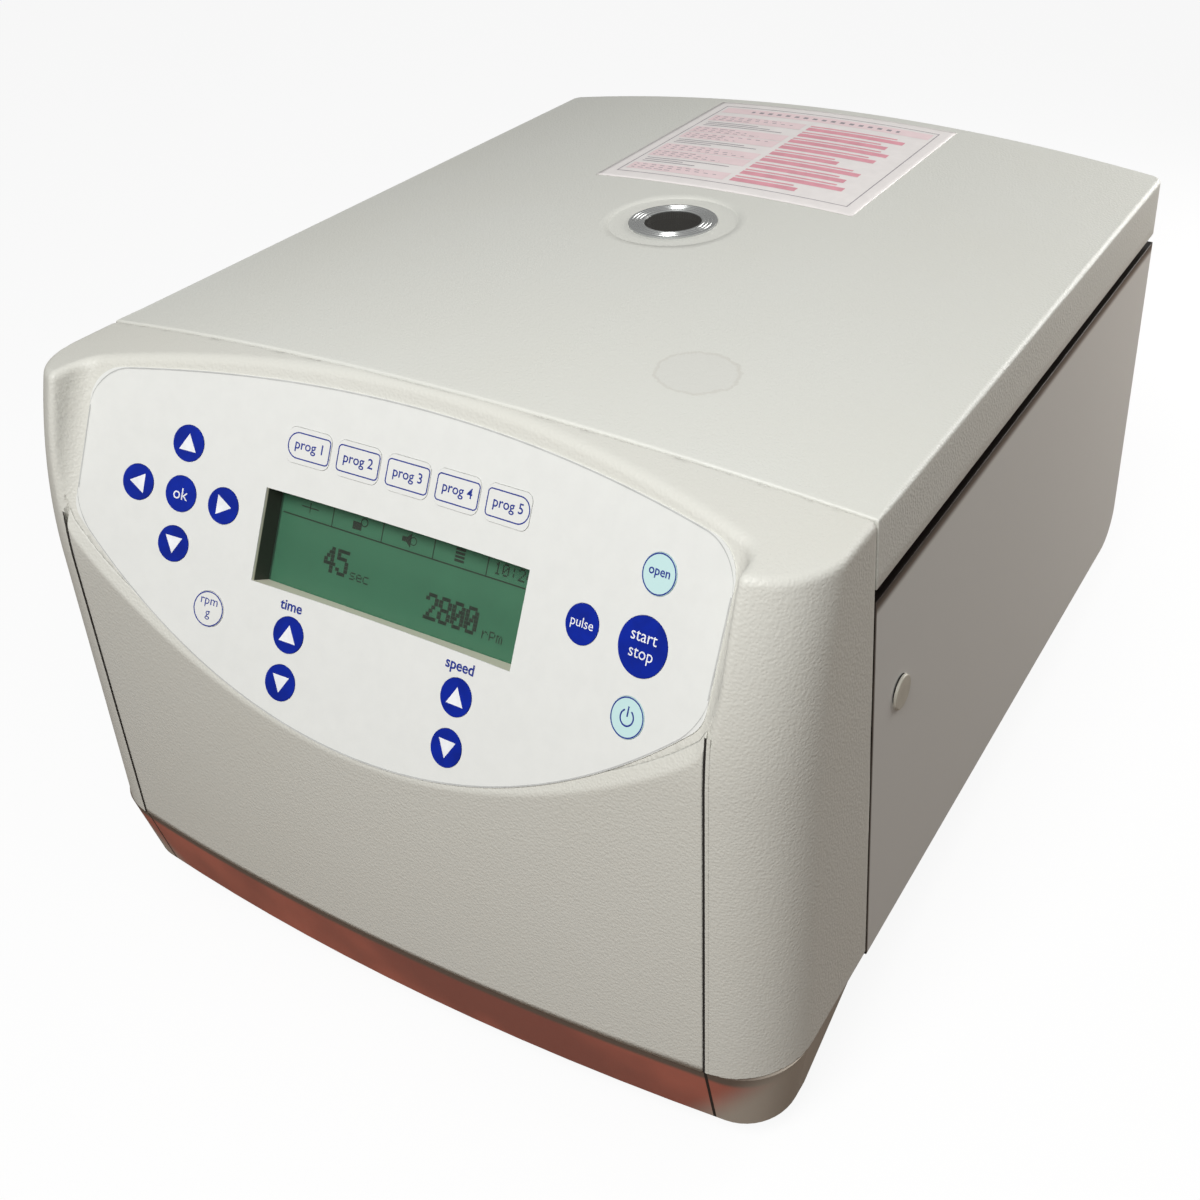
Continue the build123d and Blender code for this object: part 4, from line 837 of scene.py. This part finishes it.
CAMERA_SPOT = (0.29178, -0.43879, 0.45797)
CAMERA_RIGHT, CAMERA_UP = (0.87343, 0.48595, -0.03124), (-0.26370, 0.52594, 0.80861)
CAMERA_VIEW = (-0.40938, 0.69802, -0.58751)
CAMERA_SHIFT, SENSOR_WIDTH = (-0.0999, -0.0040), 36.0
LAMP_AIM, FLOOR_HALF = (0.0, 0.0, 0.15), 12.0


def white_to_camera(tree, real, white, output):
    """Shows the camera one shader and everything else the other."""
    ray = add_node(tree, "LightPath").outputs["Is Camera Ray"]
    mix = add_node(tree, "MixShader", {0: ray, 1: real.outputs[0], 2: white.outputs[0]})
    tree.links.new(mix.outputs[0], tree.nodes[output].inputs["Surface"])


def add_camera(scene, lens):
    """Camera with its three axes and its spot given in metres."""
    camera = bpy.data.cameras.new("camera")
    camera.lens = lens
    camera.sensor_width = SENSOR_WIDTH
    camera.sensor_fit = "HORIZONTAL"
    camera.shift_x, camera.shift_y = CAMERA_SHIFT
    camera.clip_start = 0.01
    scene.camera = link("camera", camera)
    turn = Matrix((CAMERA_RIGHT, CAMERA_UP, -Vector(CAMERA_VIEW))).transposed().to_4x4()
    scene.camera.matrix_world = Matrix.Translation(CAMERA_SPOT) @ turn


def add_floor():
    """Bench top: red-brown in what the machine reflects, white to the camera but for the machine's shadow."""
    corners = np.array([(-1, -1, 0), (1, -1, 0), (1, 1, 0), (-1, 1, 0)]) * FLOOR_HALF
    floor = quad_mesh("floor", corners / MM, np.array([[0, 1, 2, 3]]))
    material = new_material("bench", "756558", 0.8)
    tree, shader = shader_of(material)
    white = add_node(tree, "BsdfDiffuse", {"Color": linear("f4f4f4")})
    glow = add_node(tree, "Emission", {"Color": (1, 1, 1, 1), "Strength": 1.0})
    seen = add_node(tree, "MixShader", {0: 0.9, 1: white.outputs[0], 2: glow.outputs[0]})
    white_to_camera(tree, shader, seen, "Material Output")
    dress(floor, material)


def add_sky(scene, strength):
    """Soft light that brightens from a dull horizon to white overhead; white to the camera."""
    scene.world = bpy.data.worlds.new("sky")
    scene.world.use_nodes = True
    tree = scene.world.node_tree
    back = tree.nodes["Background"]
    back.inputs["Strength"].default_value = strength
    axes = add_node(tree, "SeparateXYZ", {0: add_node(tree, "TexCoord").outputs["Generated"]})
    rise = add_node(tree, "MapRange", {"Value": axes.outputs["Z"], "From Min": 0.0, "From Max": 1.0})
    tone = add_node(tree, "Mix", {0: rise.outputs["Result"], 6: (0.42, 0.40, 0.38, 1.0), 7: (1.15, 1.16, 1.17, 1.0)},
                    data_type="RGBA")
    tree.links.new(tone.outputs[2], back.inputs["Color"])
    white = add_node(tree, "Background", {"Color": (1, 1, 1, 1), "Strength": 1.0})
    white_to_camera(tree, back, white, "World Output")


def add_lamp(name, spot, size, power, colour):
    """Round lamp of size metres across, turned towards the middle of the machine."""
    lamp = bpy.data.lights.new(name, "AREA")
    lamp.shape = "DISK"
    lamp.size = size
    lamp.energy = power
    lamp.color = colour
    turn = (Vector(LAMP_AIM) - Vector(spot)).to_track_quat("-Z", "Y").to_matrix().to_4x4()
    link(name, lamp).matrix_world = Matrix.Translation(spot) @ turn


class CENTRIFUGE_OT_stage(bpy.types.Operator):
    """Floor, lamps, sky and camera"""

    bl_idname = "centrifuge.stage"
    bl_label = "Stage"

    def execute(self, context):
        scene, stage = context.scene, context.scene.centrifuge_stage
        add_camera(scene, stage.lens)
        add_floor()
        add_sky(scene, stage.sky)
        scene.view_settings.view_transform = "Standard"
        add_lamp("key_lamp", (0.17, -0.8, 1.1), 0.6, stage.key_power, (1.0, 1.0, 0.99))
        add_lamp("fill_lamp", (0.45, 0.75, 0.4), 0.5, stage.fill_power, (1.0, 0.985, 0.96))
        return {"FINISHED"}


BEZEL_BOX = (-168.0, -209.0, 45.0), (168.0, -121.0, 252.0)  # opposite corners of the room round the moulding
COVER_END = 0.5  # roll of the front cover's two ends
SLIT_NEAR, SLIT_FAR, SLIT_EDGE = 0.25, 1.05, 2.2  # slit and the moulding's straight edge, out from the cover


def cover_grid():
    """Front cover: its profile at each x, with the two ends rolled in by a quarter circle and closed."""
    flat_half = COVER_HALF - COVER_END
    x = np.linspace(-flat_half, flat_half, 150)
    columns = [cover_profile(x)]
    for turn in np.radians([30, 60, 90]):
        side = np.array([-1, 1]) * (flat_half + COVER_END * math.sin(turn))
        ends = cover_profile(side, COVER_END * (1 - math.cos(turn)))
        columns = [ends[:, :, :1], *columns, ends[:, :, 1:]]
        x = np.concatenate([side[:1], x, side[1:]])
    middle = cover_profile(side, COVER_WALL / 2 - 0.01)
    y, z = np.concatenate([middle[:, :, :1], *columns, middle[:, :, 1:]], axis=2).transpose(1, 0, 2)
    x = np.concatenate([side[:1], x, side[1:]])
    return np.stack([np.broadcast_to(x, y.shape), y, z], -1).transpose(1, 0, 2)[::-1]


def on_front(x, z):
    """Points on the bowed face, 0.08 mm in front of it."""
    return np.stack([x, FRONT_Y + lean(z) + BOW_R - np.sqrt(BOW_R**2 - x**2) - 0.08, z], -1)


class CENTRIFUGE_OT_front(bpy.types.Operator):
    """Front moulding and front cover, with the slits beside the cover"""

    bl_idname = "centrifuge.front"
    bl_label = "Front moulding"

    def execute(self, context):
        abs_plastic = textured_abs("textured ABS, front", colours().front)[0]
        step = form().skin_step / MM
        bezel = field_mesh("front_moulding", bezel_field, *BEZEL_BOX, step)
        settle(dress(bezel, abs_plastic), "housing", "front_bezel")
        cover = grid_mesh("front_cover_skin", cover_grid(), around=True)
        weld(cover)
        settle(dress(cover, abs_plastic), "housing", "front_cover")

        z = np.linspace(SEAM_Z + 0.2, cover_profile(np.array([COVER_HALF]))[:, 1].max() - 1.6, 60)
        shadow = plain("slit shadow", "1f1b19", 0.8)
        for name, near, far, finish in (("slit_shadows", SLIT_NEAR, SLIT_FAR, shadow),
                                        ("slit_edges", SLIT_FAR, SLIT_EDGE, abs_plastic)):
            strips = [strip_shape(*(path(side * (COVER_HALF + d), z) for d in (near, far))) for side in (-1, 1)]
            print_mesh(name, strips, on_front, finish, "housing")
        return {"FINISHED"}


LID_WALL, SKIRT_ROLL, FRONT_ROLL = 3.0, 0.6, 1.2


def lid_grid(roll_side):
    """Lid as a closed ring of profiles: skirt, rolled edge, crown, port recess, underside, back down the skirt.

    The edge's roll grows from the front corners to roll_side over 14 mm, by a smooth step.
    """
    outer = lid_outline(0.0)
    miter = lid_outline(1.0) - outer
    centre = np.array([0.0, PORT_Y])
    near = np.clip((outer[:, 1] - CREASE_Y) / 14.0, 0, 1)
    roll = FRONT_ROLL + (roll_side - FRONT_ROLL) * near * near * (3 - 2 * near)
    rows = []

    def add(p, z):
        """One profile round the lid, at height z."""
        rows.append(np.stack([p[:, 0], p[:, 1], np.broadcast_to(z, len(p))], -1))

    def skirt(inset, z):
        """Outline taken in by inset at height z, opened out by the side draft."""
        p = outer + np.asarray(inset).reshape(-1, 1) * miter
        add(path(p[:, 0] * side_x(z) / LID_HALF, p[:, 1]), z)

    foot = SKIRT_Z + SKIRT_ROLL
    for inset, z in ((SKIRT_ROLL, SKIRT_Z), (0.3 * SKIRT_ROLL, SKIRT_Z + 0.3 * SKIRT_ROLL), (0.0, foot)):
        skirt(inset, z)
    edge = outer + roll[:, None] * miter
    shoulder = crown_z(edge[:, 0]) - roll
    for t in (0.2, 0.5, 0.8, 1.0):
        skirt(0.0, foot + t * (shoulder - foot))
    for turn in np.radians([10, 22, 34, 46, 58, 70, 82, 90]):
        skirt(roll * (1 - math.cos(turn)), shoulder + roll * math.sin(turn))
    way = unit(edge - centre)
    for t in np.linspace(0, 1, 46)[1:]:
        p = edge + (centre + RECESS_R * way - edge) * t
        add(p, crown_z(p[:, 0]))
    # rolled step down to the recess's floor, and the neck in its middle
    floor = PORT_FLOOR_Z
    for r, z in ((RECESS_R - 0.2, floor + 0.25), (RECESS_R - 0.6, floor + 0.04), (RECESS_R - 1.1, floor),
                 (22.0, floor), (NECK_R + 0.2, floor), (NECK_R, floor - 0.2), (NECK_R, floor - 2.0)):
        p = centre + r * way
        add(p, np.minimum(z, crown_z(p[:, 0]) - 0.02))
    inner = outer + LID_WALL * miter
    for t in np.linspace(0, 1, 12):
        p = centre + NECK_R * way + (inner - centre - NECK_R * way) * t
        add(p, crown_z(p[:, 0], LID_WALL) - 0.1)
    skirt(LID_WALL, SKIRT_Z + 0.3)
    skirt(LID_WALL - 0.3, SKIRT_Z)
    return np.array(rows)


class CENTRIFUGE_OT_lid(bpy.types.Operator):
    """Lid with its rolled edges and the recess of its port"""

    bl_idname = "centrifuge.lid"
    bl_label = "Lid"

    def execute(self, context):
        lid = grid_mesh("lid_skin", lid_grid(form().lid_roll / MM), around=True, along=True)
        weld(lid)
        plastic, colour = textured_abs("textured ABS, lid", colours().moulding)
        cup_ring(plastic, colour, 0.076, -0.080, 0.0145)
        settle(dress(lid, plastic), "lid", "lid_shell")
        return {"FINISHED"}


LABEL_HALF, LABEL_FRONT, LABEL_REAR, LABEL_THICK = 64, 71, 191, 0.15
BAR_LENGTHS = (0.62, 0.97, 0.9, 0.95, 0.66, 0.93, 0.97, 0.88, 0.97)
BAR_FRONT, BAR_PITCH, BAR_LEFT, BAR_FULL = 84, 9.6, -2, 52
RING_TOP, RING_FOOT, RING_GROOVES = 250.0, 213.0, (17.0, 15.4, 13.8)


def on_lid(u, v):
    """Points on the crown, above the label."""
    return np.stack([u, v, crown_z(u) + 0.26], -1)


def chart_shapes():
    """Bars, tints and lines of the chart: a row for each bar, with a frame and a title bar round them."""
    bars, tints, lines = [], [], []
    left = BAR_LEFT
    for n, length in enumerate(BAR_LENGTHS):
        y = BAR_FRONT + n * BAR_PITCH
        bars.append(box_shape(left, y, left + BAR_FULL * length, y + 4.2))
        bars.append(box_shape(left, y + 5.6, left + BAR_FULL * length * 0.9, y + 7.0))
        if n % 3 != 1:
            tints.append(box_shape(-56, y - 0.6, -5, y + 8.0))
        for k in range(3):
            wide = 24 + 9 * ((n * 5 + k * 3) % 4)
            lines.append(box_shape(-54, y + 1.0 + 2.4 * k, -54 + wide * 0.85, y + 1.7 + 2.4 * k))
    tints.append(box_shape(-56, 174, 56, 182))
    lines += [box_shape(*corners) for corners in ((-40, 176.6, 40, 179.0), (-58, 79, 58, 79.5), (-58, 184, 58, 184.5),
                                                  (-58, 79, -57.5, 184.5), (57.5, 79, 58, 184.5))]
    return bars, tints, lines


def port_ring_grid():
    """Turned ring with three grooves: a closed profile of radius and height, spun about the port's axis."""
    top, step = RING_TOP, PORT_FLOOR_Z + 0.02
    profile = [(18.75, step), (18.75, top - 0.2), (18.5, top), (17.5, top)]
    for r in RING_GROOVES:
        profile += [(r + 0.45, top), (r + 0.25, top - 0.28), (r - 0.25, top - 0.28), (r - 0.45, top)]
    profile += [(12.4, top), (12.0, top - 0.4), (12.0, RING_FOOT), (15.0, RING_FOOT), (15.0, step)]
    r, z = np.array(profile).T[..., None]
    way = ways(np.linspace(0, math.tau, 97)[:-1])
    return np.stack([r * way[:, 0], PORT_Y + r * way[:, 1], np.broadcast_to(z, (len(z), len(way)))], -1)


class CENTRIFUGE_OT_label(bpy.types.Operator):
    """Chart label on the lid, and the ring and glass of the viewing port"""

    bl_idname = "centrifuge.label"
    bl_label = "Label and port"

    def execute(self, context):
        # laminated paper label: x across, y to the rear, laid on the crown
        x, y = np.broadcast_arrays(np.linspace(-LABEL_HALF, LABEL_HALF, 60),
                                   np.linspace(LABEL_FRONT, LABEL_REAR, 50)[:, None])
        sheet = grid_mesh("chart_label", np.stack([x, y, crown_z(x) + 0.05], -1))
        thick = sheet.modifiers.new("Film", "SOLIDIFY")
        thick.thickness = LABEL_THICK * MM
        thick.offset = 1.0
        settle(dress(sheet, plain("laminated paper", "f1ecea", 0.34, 3.0, 0.02, 0.95)), "lid", "information_label")
        inks = (plain("printed pink", colours().label, 0.36, 3.0, 0.01),
                plain("printed pale pink", "f2dcde", 0.36, 3.0, 0.01, 0.95),
                plain("printed grey", "a29ca2", 0.38, 3.0, 0.01))
        for name, shapes, ink in zip(("chart_bars", "chart_tints", "chart_lines"), chart_shapes(), inks):
            print_mesh(name, shapes, on_lid, ink, "lid")

        ring = grid_mesh("port_ring_turned", port_ring_grid(), around=True, along=True)
        weld(ring)
        ring.data.polygons.foreach_set("use_smooth", np.zeros(len(ring.data.polygons), bool))
        # turned steel, kept less than fully metallic so that the grooves stay pale
        steel = grain(new_material("turned stainless steel", "c4c6c5", 0.27, Metallic=0.7), 0.5, 0.01, 0.6)
        settle(dress(ring, steel), "lid", "port_ring")
        glass = new_material("tinted port glass", "26241f", 0.05, Alpha=0.82)
        finish_nodes(grain(glass, 8.0, 0.01, 0.2), "port_glass")
        return {"FINISHED"}


FILM_END, FILM_TOP_SAG, FILM_TOP_R, FILM_LOW_R = 134.6, 14.5, 14.0, 8.0
# the film's edge line is painted shade of the film's edge step
EDGE_NEAR, EDGE_FAR = 0.15, 0.65  # the film's edge line, in from its edge
PROG_KEYS = {f"key_prog_{n + 1}": f"prog {n + 1}" for n in range(5)}
PROG_FIRST_U, PROG_PITCH, PROG_V, PROG_SIZE = -40.5, 21.4, 18.6, (18.2, 9.4)
PROG_END_R, PROG_R, PALE_KEY_R, KEY_LINE, KEY_PROUD = 4.6, 1.6, 6.5, 0.45, 0.25
# middle of each key, across and up the control panel from the middle of its lowest line
KEY_SPOTS = {
    "key_up": (-91.1, 8.9), "key_down": (-91.1, -28.3), "key_left": (-109.7, -9.7), "key_right": (-72.5, -9.7),
    "key_ok": (-91.1, -9.7), "key_rpm": (-71.7, -47.8), "key_time_up": (-35.8, -47.7),
    "key_time_down": (-35.8, -65.4), "key_speed_up": (39.0, -47.7), "key_speed_down": (39.0, -65.4),
    "key_open": (107.4, 13.1), "key_short": (82.8, -9.7), "key_start_stop": (107.0, -9.7),
    "key_power": (106.9, -32.2),
    **{name: (round(PROG_FIRST_U + PROG_PITCH * n, 1), PROG_V) for n, name in enumerate(PROG_KEYS)},
}
ARROWS = {"key_up": 0, "key_down": 180, "key_left": 90, "key_right": -90, "key_time_up": 0, "key_time_down": 180,
          "key_speed_up": 0, "key_speed_down": 180}
# words with their size, place and boldness
KEY_WORDS = {
    "key_ok": [("ok", 6.2)], "key_rpm": [("rpm", 4.8, 0, 2.2), ("g", 4.8, 0, -2.4)],
    "key_open": [("open", 4.2, 0, 0, 0.06)], "key_short": [("pulse", 4.6)],
    "key_start_stop": [("start", 5.6, 0, 2.9), ("stop", 5.6, 0, -3.0)],
    **{name: [(words, 4.9, 0, 0, 0.05)] for name, words in PROG_KEYS.items()},
}
WHITE_KEYS = (*PROG_KEYS, "key_rpm")
LIT_KEYS = ("key_open", "key_power")


def film_edges(u, inset=0.0):
    """Lower and upper edge of the film at u, taken in by inset: an arc above, a smile that steepens towards its
    ends below, and rounded corners."""
    radius = (FILM_END**2 + FILM_TOP_SAG**2) / (2 * FILM_TOP_SAG)
    top = OVERLAY_TOP - radius + np.sqrt(radius**2 - u**2) - inset
    low = OVERLAY_LOW + 2.72e-3 * u**2 + 2.2e-8 * u**4 + inset
    for edge, r, way in ((top, FILM_TOP_R, -1), (low, FILM_LOW_R, 1)):
        over = np.clip(np.abs(u) - (FILM_END - r), 0, r)
        edge += way * (r - np.sqrt(r**2 - over**2))
    return low, top


def film_edge_shapes():
    """Line of painted shade along the film's edge step: above, below and up both ends."""
    u = np.linspace(0.02 - FILM_END, FILM_END - 0.02, 400)
    low, top = film_edges(u, EDGE_NEAR)
    low_in, top_in = film_edges(u, EDGE_FAR)
    shapes = [strip_shape(path(u, top), path(u, top_in)),
              strip_shape(path(u, low_in), path(u, low))]
    v = np.linspace(*(edge[0] for edge in film_edges(np.array([FILM_END]))), 20)
    for side in (-1, 1):
        shapes.append(strip_shape(path(side * (FILM_END - 0.1), v), path(side * (FILM_END - 0.6), v)))
    return shapes


def key_shapes(name):
    """What is printed on a key: an arrow, the power sign or words, and the outline of a pale key."""
    if name in ARROWS:
        return [arrow_shape(ARROWS[name])]
    if name == "key_power":
        way = ways(np.radians(np.linspace(60, -240, 40)))
        shapes = [strip_shape(way * 2.3, way * 2.85), box_shape(-0.28, 0.3, 0.28, 3.6)]
    else:
        shapes = [text_shape(*words) for words in KEY_WORDS[name]]
    if name in PROG_KEYS:
        ends = [PROG_END_R if name.endswith(end) else PROG_R for end in "15"]
        inner = key_outline(*PROG_SIZE, *ends, KEY_LINE)
        shapes.append(strip_shape(inner, key_outline(*PROG_SIZE, *ends), closed=True))
    elif name in WHITE_KEYS + LIT_KEYS:
        shapes.append(ring_shape(0, 0, PALE_KEY_R, KEY_LINE))
    return shapes


def key_face(name, lift):
    """Maps x and y about a key's middle to points on its flat face, lifted by lift."""
    u, v = KEY_SPOTS[name]
    turn = math.asin(u / PANEL_R)
    normal = PANEL_OUT * math.cos(turn) + np.array([-math.sin(turn), 0, 0])
    along = np.array([math.cos(turn), 0, 0]) + PANEL_OUT * math.sin(turn)
    foot = panel_point(u, v)
    return lambda x, y: foot + normal * (KEY_PROUD + lift) + x[:, None] * along + y[:, None] * PANEL_UP


class CENTRIFUGE_OT_keypad(bpy.types.Operator):
    """Keypad film, keys and their print"""

    bl_idname = "centrifuge.keypad"
    bl_label = "Keypad"

    def execute(self, context):
        lift = form().ink_lift / MM
        film = plain("textured polyester film", colours().keypad, 0.33, 0.7, 0.015, 0.975)
        finish_nodes(film, "keypad_overlay")
        # grey line of painted shade along the film's edge, where it steps up from the moulding
        grey = plain("film edge painted shade", "c2c3c1", 0.5)
        blue_ink = plain("printed blue", "24368f", 0.4)
        white_ink = plain("printed white", "f0f2f6", 0.4)

        def on_film(x, y):
            """Points on the film, in front of its facets."""
            return panel_point(x, y, lift + FILM_SAG)

        print_mesh("film_edge_painted_shade", film_edge_shapes(), on_film, grey, "housing")
        words = [text_shape("time", 5.3, -36.6, -37.4, 0.1), text_shape("speed", 5.3, 38.2, -37.6, 0.1)]
        print_mesh("film_words", words, on_film, blue_ink, "housing")

        blue = new_material("blue key print under gloss film", colours().key, 0.3)
        base = linear(colours().key)
        mottle(blue, [c * 0.9 for c in base[:3]], [c * 1.25 for c in base[:3]], 9.0)
        grain(blue, 0.7, 0.01, 0.6)
        lit = new_material("lit key film", "bcd9d9", 0.33, Emission_Color=linear("c5f0e8"), Emission_Strength=0.06)
        grain(lit, 0.7, 0.012, 0.6)
        for name in KEY_SPOTS:
            pale = name in WHITE_KEYS + LIT_KEYS
            finish_nodes(lit if name in LIT_KEYS else film if pale else blue, name)
            ink = blue_ink if pale else white_ink
            print_mesh(name + "_print", key_shapes(name), key_face(name, lift), ink, name)
        return {"FINISHED"}


FIGURES_LEFT, FIGURES_RIGHT, FIGURES_TOP, FIGURES_DEEP = -55.0, 57.8, 1.0, 7.12
# a display dot's pitch across and up; the big ones run into each other
BIG_DOT, SMALL_DOT, CLOCK_DOT = (0.95, 1.35, 1.75), (0.5, 0.55), (0.54, 0.62)


def on_display(u, v):
    """Points on the flat display: u across, v up the slope, behind the panel's lowest line."""
    return (np.array([0, PANEL_Y, PANEL_Z]) + u[:, None] * np.array([1.0, 0, 0]) + v[:, None] * PANEL_UP
            - FIGURES_DEEP * PANEL_OUT)


def figure_shapes():
    """Two figures with their units, the time of day, a ruled row of cells above them and an icon in each cell."""
    left, right, top = FIGURES_LEFT, FIGURES_RIGHT, FIGURES_TOP
    shapes = [box_shape(left, top - 8.6, right, top - 8.1)]
    shapes += [box_shape(left + n * 22.6, top - 8.4, left + n * 22.6 + 0.4, top - 1.0) for n in range(1, 5)]
    for words, x, y, dot in (("45", 22, -23.4, BIG_DOT), ("sec", 34.5, -23.4, SMALL_DOT),
                             ("2800", 68.5, -28.0, BIG_DOT), ("rpm", 93.5, -28.0, SMALL_DOT),
                             ("10:24", 93.5, top - 6.6, CLOCK_DOT)):
        shapes.append(dot_text(words, left + x, y, *dot))
    # icons: swing rotor, open latch, sounder, full load
    sounder = ((54, 5.4), (56, 5.4), (58, 7), (58, 2), (56, 3.6), (54, 3.6))
    shapes += [box_shape(left + 8, top - 4.4, left + 16, top - 4.0),
               box_shape(left + 11.8, top - 6, left + 12.2, top - 2.4),
               box_shape(left + 32, top - 6.6, left + 36, top - 3.8), ring_shape(left + 37, top - 3.4, 1.6, 0.4),
               poly_shape([(left + x, top - y) for x, y in sounder]), ring_shape(left + 59, top - 4.5, 1.5, 0.3)]
    return shapes + [box_shape(left + 77, top - 6.6 + k * 1.3, left + 81, top - 5.7 + k * 1.3) for k in range(4)]


class CENTRIFUGE_OT_display(bpy.types.Operator):
    """Display: recess, backlit panel, figures and cover glass"""

    bl_idname = "centrifuge.display"
    bl_label = "Display"

    def execute(self, context):
        finish_nodes(frame_plastic(), "display_frame")
        backlit = colours().display
        green = new_material("backlit display", backlit, 0.35, Emission_Color=linear(backlit), Emission_Strength=0.08)
        finish_nodes(mottle(green, "356a4e", backlit, 18.0), "display_module")
        glass = new_material("display cover glass", "9fb8a8", 0.06, Alpha=0.06)
        finish_nodes(grain(glass, 12.0, 0.01, 0.15), "display_glass")
        print_mesh("display_figures", figure_shapes(), on_display, plain("display segment", "12180b", 0.5), "housing")
        return {"FINISHED"}


def on_side(y, z):
    """Points on the right side panel, from the release plug's middle."""
    return np.stack([side_x(z + PLUG_Z) - SIDE_INSET + 0.15, y + PLUG_Y, z + PLUG_Z], -1)


class CENTRIFUGE_OT_case(bpy.types.Operator):
    """Side panels with the release plug, rear panel, base, feet and deck"""

    bl_idname = "centrifuge.case"
    bl_label = "Case"

    def execute(self, context):
        paint = satin_paint("powder-coated sheet steel", colours().side)
        for name in ("side_panel_left", "side_panel_right"):
            soften(name, side_paint(colours().side), SIDE_ROLL, 4, roll_of=side_roll)
        soften("rear_panel", paint, 0.35)
        finish_nodes(satin_paint("grey deck paint", "9b9e9a"), "top_deck")
        finish_nodes(base_plastic(colours().base), "base_tray")
        rubber = plain("moulded rubber", "1c1c1d", 0.8, 1.0, 0.05)
        finish_nodes(rubber, "rubber_feet", "motor_dampers", "bowl_gasket")
        finish_nodes(plain("push-in plastic plug", "c9c5b8", 0.45), "release_plug")
        way = ways(np.radians(np.linspace(60, 190, 24)))
        wide = PLUG_SLOT_W * np.sin(np.linspace(0, math.pi, 24))[:, None]
        slot = strip_shape(way * (PLUG_R + wide), way * PLUG_R)
        print_mesh("plug_slot", [slot], on_side, plain("plug slot shadow", "17171a", 0.8), "housing")
        finish_nodes(brushed("plated screw steel", "a6a8a9", 0.32), "case_screws")
        return {"FINISHED"}


class CENTRIFUGE_OT_rear(bpy.types.Operator):
    """Fan, mains inlet, switch and data socket on the rear"""

    bl_idname = "centrifuge.rear"
    bl_label = "Rear fittings"

    def execute(self, context):
        black = plain("glass-filled black plastic", "1d1e20", 0.5)
        finish_nodes(black, "fan_frame", "mains_inlet", "data_port", "latch_housing")
        finish_nodes(plain("fan blade plastic", "17181a", 0.4), "fan_rotor")
        finish_nodes(plain("switch rocker plastic", "26272a", 0.3), "mains_rocker")
        return {"FINISHED"}


class CENTRIFUGE_OT_inside(bpy.types.Operator):
    """Chamber, rotor, carriers, drive and boards"""

    bl_idname = "centrifuge.inside"
    bl_label = "Inside"

    def execute(self, context):
        bowl = brushed("deep-drawn stainless steel", "b4b7b8", 0.3, (300.0, 300.0, 2000.0))
        finish_nodes(bowl, "rotor_bowl")
        finish_nodes(plain("moulded lid liner", "c9cac6", 0.45, 1.2, 0.03), "lid_liner")
        anodised = new_material("anodised aluminium", "8f969c", 0.34, Metallic=1.0)
        finish_nodes(grain(anodised, 0.6, 0.02, 0.7), "rotor_yoke")
        carrier = brushed("bent stainless sheet", "b0b3b5", 0.3, (900.0, 6.0, 900.0))
        finish_nodes(carrier, "plate_carrier_a", "plate_carrier_b")
        steel = brushed("zinc-plated steel", "a4a7a6", 0.35)
        finish_nodes(steel, "motor_shaft", "rotor_nut", "hinge_brackets", "lid_hinge_arms", "hinge_pins",
                     "lid_strikers", "latch_bar")
        finish_nodes(plain("cast aluminium housing", "84878a", 0.5, 1.2, 0.05, Metallic=0.8), "motor_housing")
        finish_nodes(plain("green solder mask", "28573a", 0.4), "control_board", "power_board")
        return {"FINISHED"}


OPERATORS = (CENTRIFUGE_OT_stage, CENTRIFUGE_OT_front, CENTRIFUGE_OT_lid, CENTRIFUGE_OT_label, CENTRIFUGE_OT_keypad,
             CENTRIFUGE_OT_display, CENTRIFUGE_OT_case, CENTRIFUGE_OT_rear, CENTRIFUGE_OT_inside)


class CENTRIFUGE_PT_sidebar(bpy.types.Panel):
    """The builders of this centrifuge, in order"""

    bl_idname = "CENTRIFUGE_PT_sidebar"
    bl_label = "Microplate Centrifuge"
    bl_space_type = "VIEW_3D"
    bl_region_type = "UI"
    bl_category = "Centrifuge"

    def draw(self, context):
        for group in (context.scene.centrifuge_form, context.scene.centrifuge_colours, context.scene.centrifuge_stage):
            for key in group.bl_rna.properties.keys():
                if key not in ("rna_type", "name"):
                    self.layout.prop(group, key)
        for operator in OPERATORS:
            self.layout.operator(operator.bl_idname)


SETTINGS = {"centrifuge_form": CentrifugeForm, "centrifuge_colours": CentrifugeColours,
            "centrifuge_stage": CentrifugeStage}
CLASSES = (*SETTINGS.values(), *OPERATORS, CENTRIFUGE_PT_sidebar)


def register():
    for item in CLASSES:
        bpy.utils.register_class(item)
    for name, group in SETTINGS.items():
        setattr(bpy.types.Scene, name, bpy.props.PointerProperty(type=group))


def unregister():
    for name in SETTINGS:
        delattr(bpy.types.Scene, name)
    for item in reversed(CLASSES):
        bpy.utils.unregister_class(item)


def main():
    register()
    for operator in OPERATORS:
        group, name = operator.bl_idname.split(".")
        getattr(getattr(bpy.ops, group), name)()


if __name__ == "__main__":
    main()
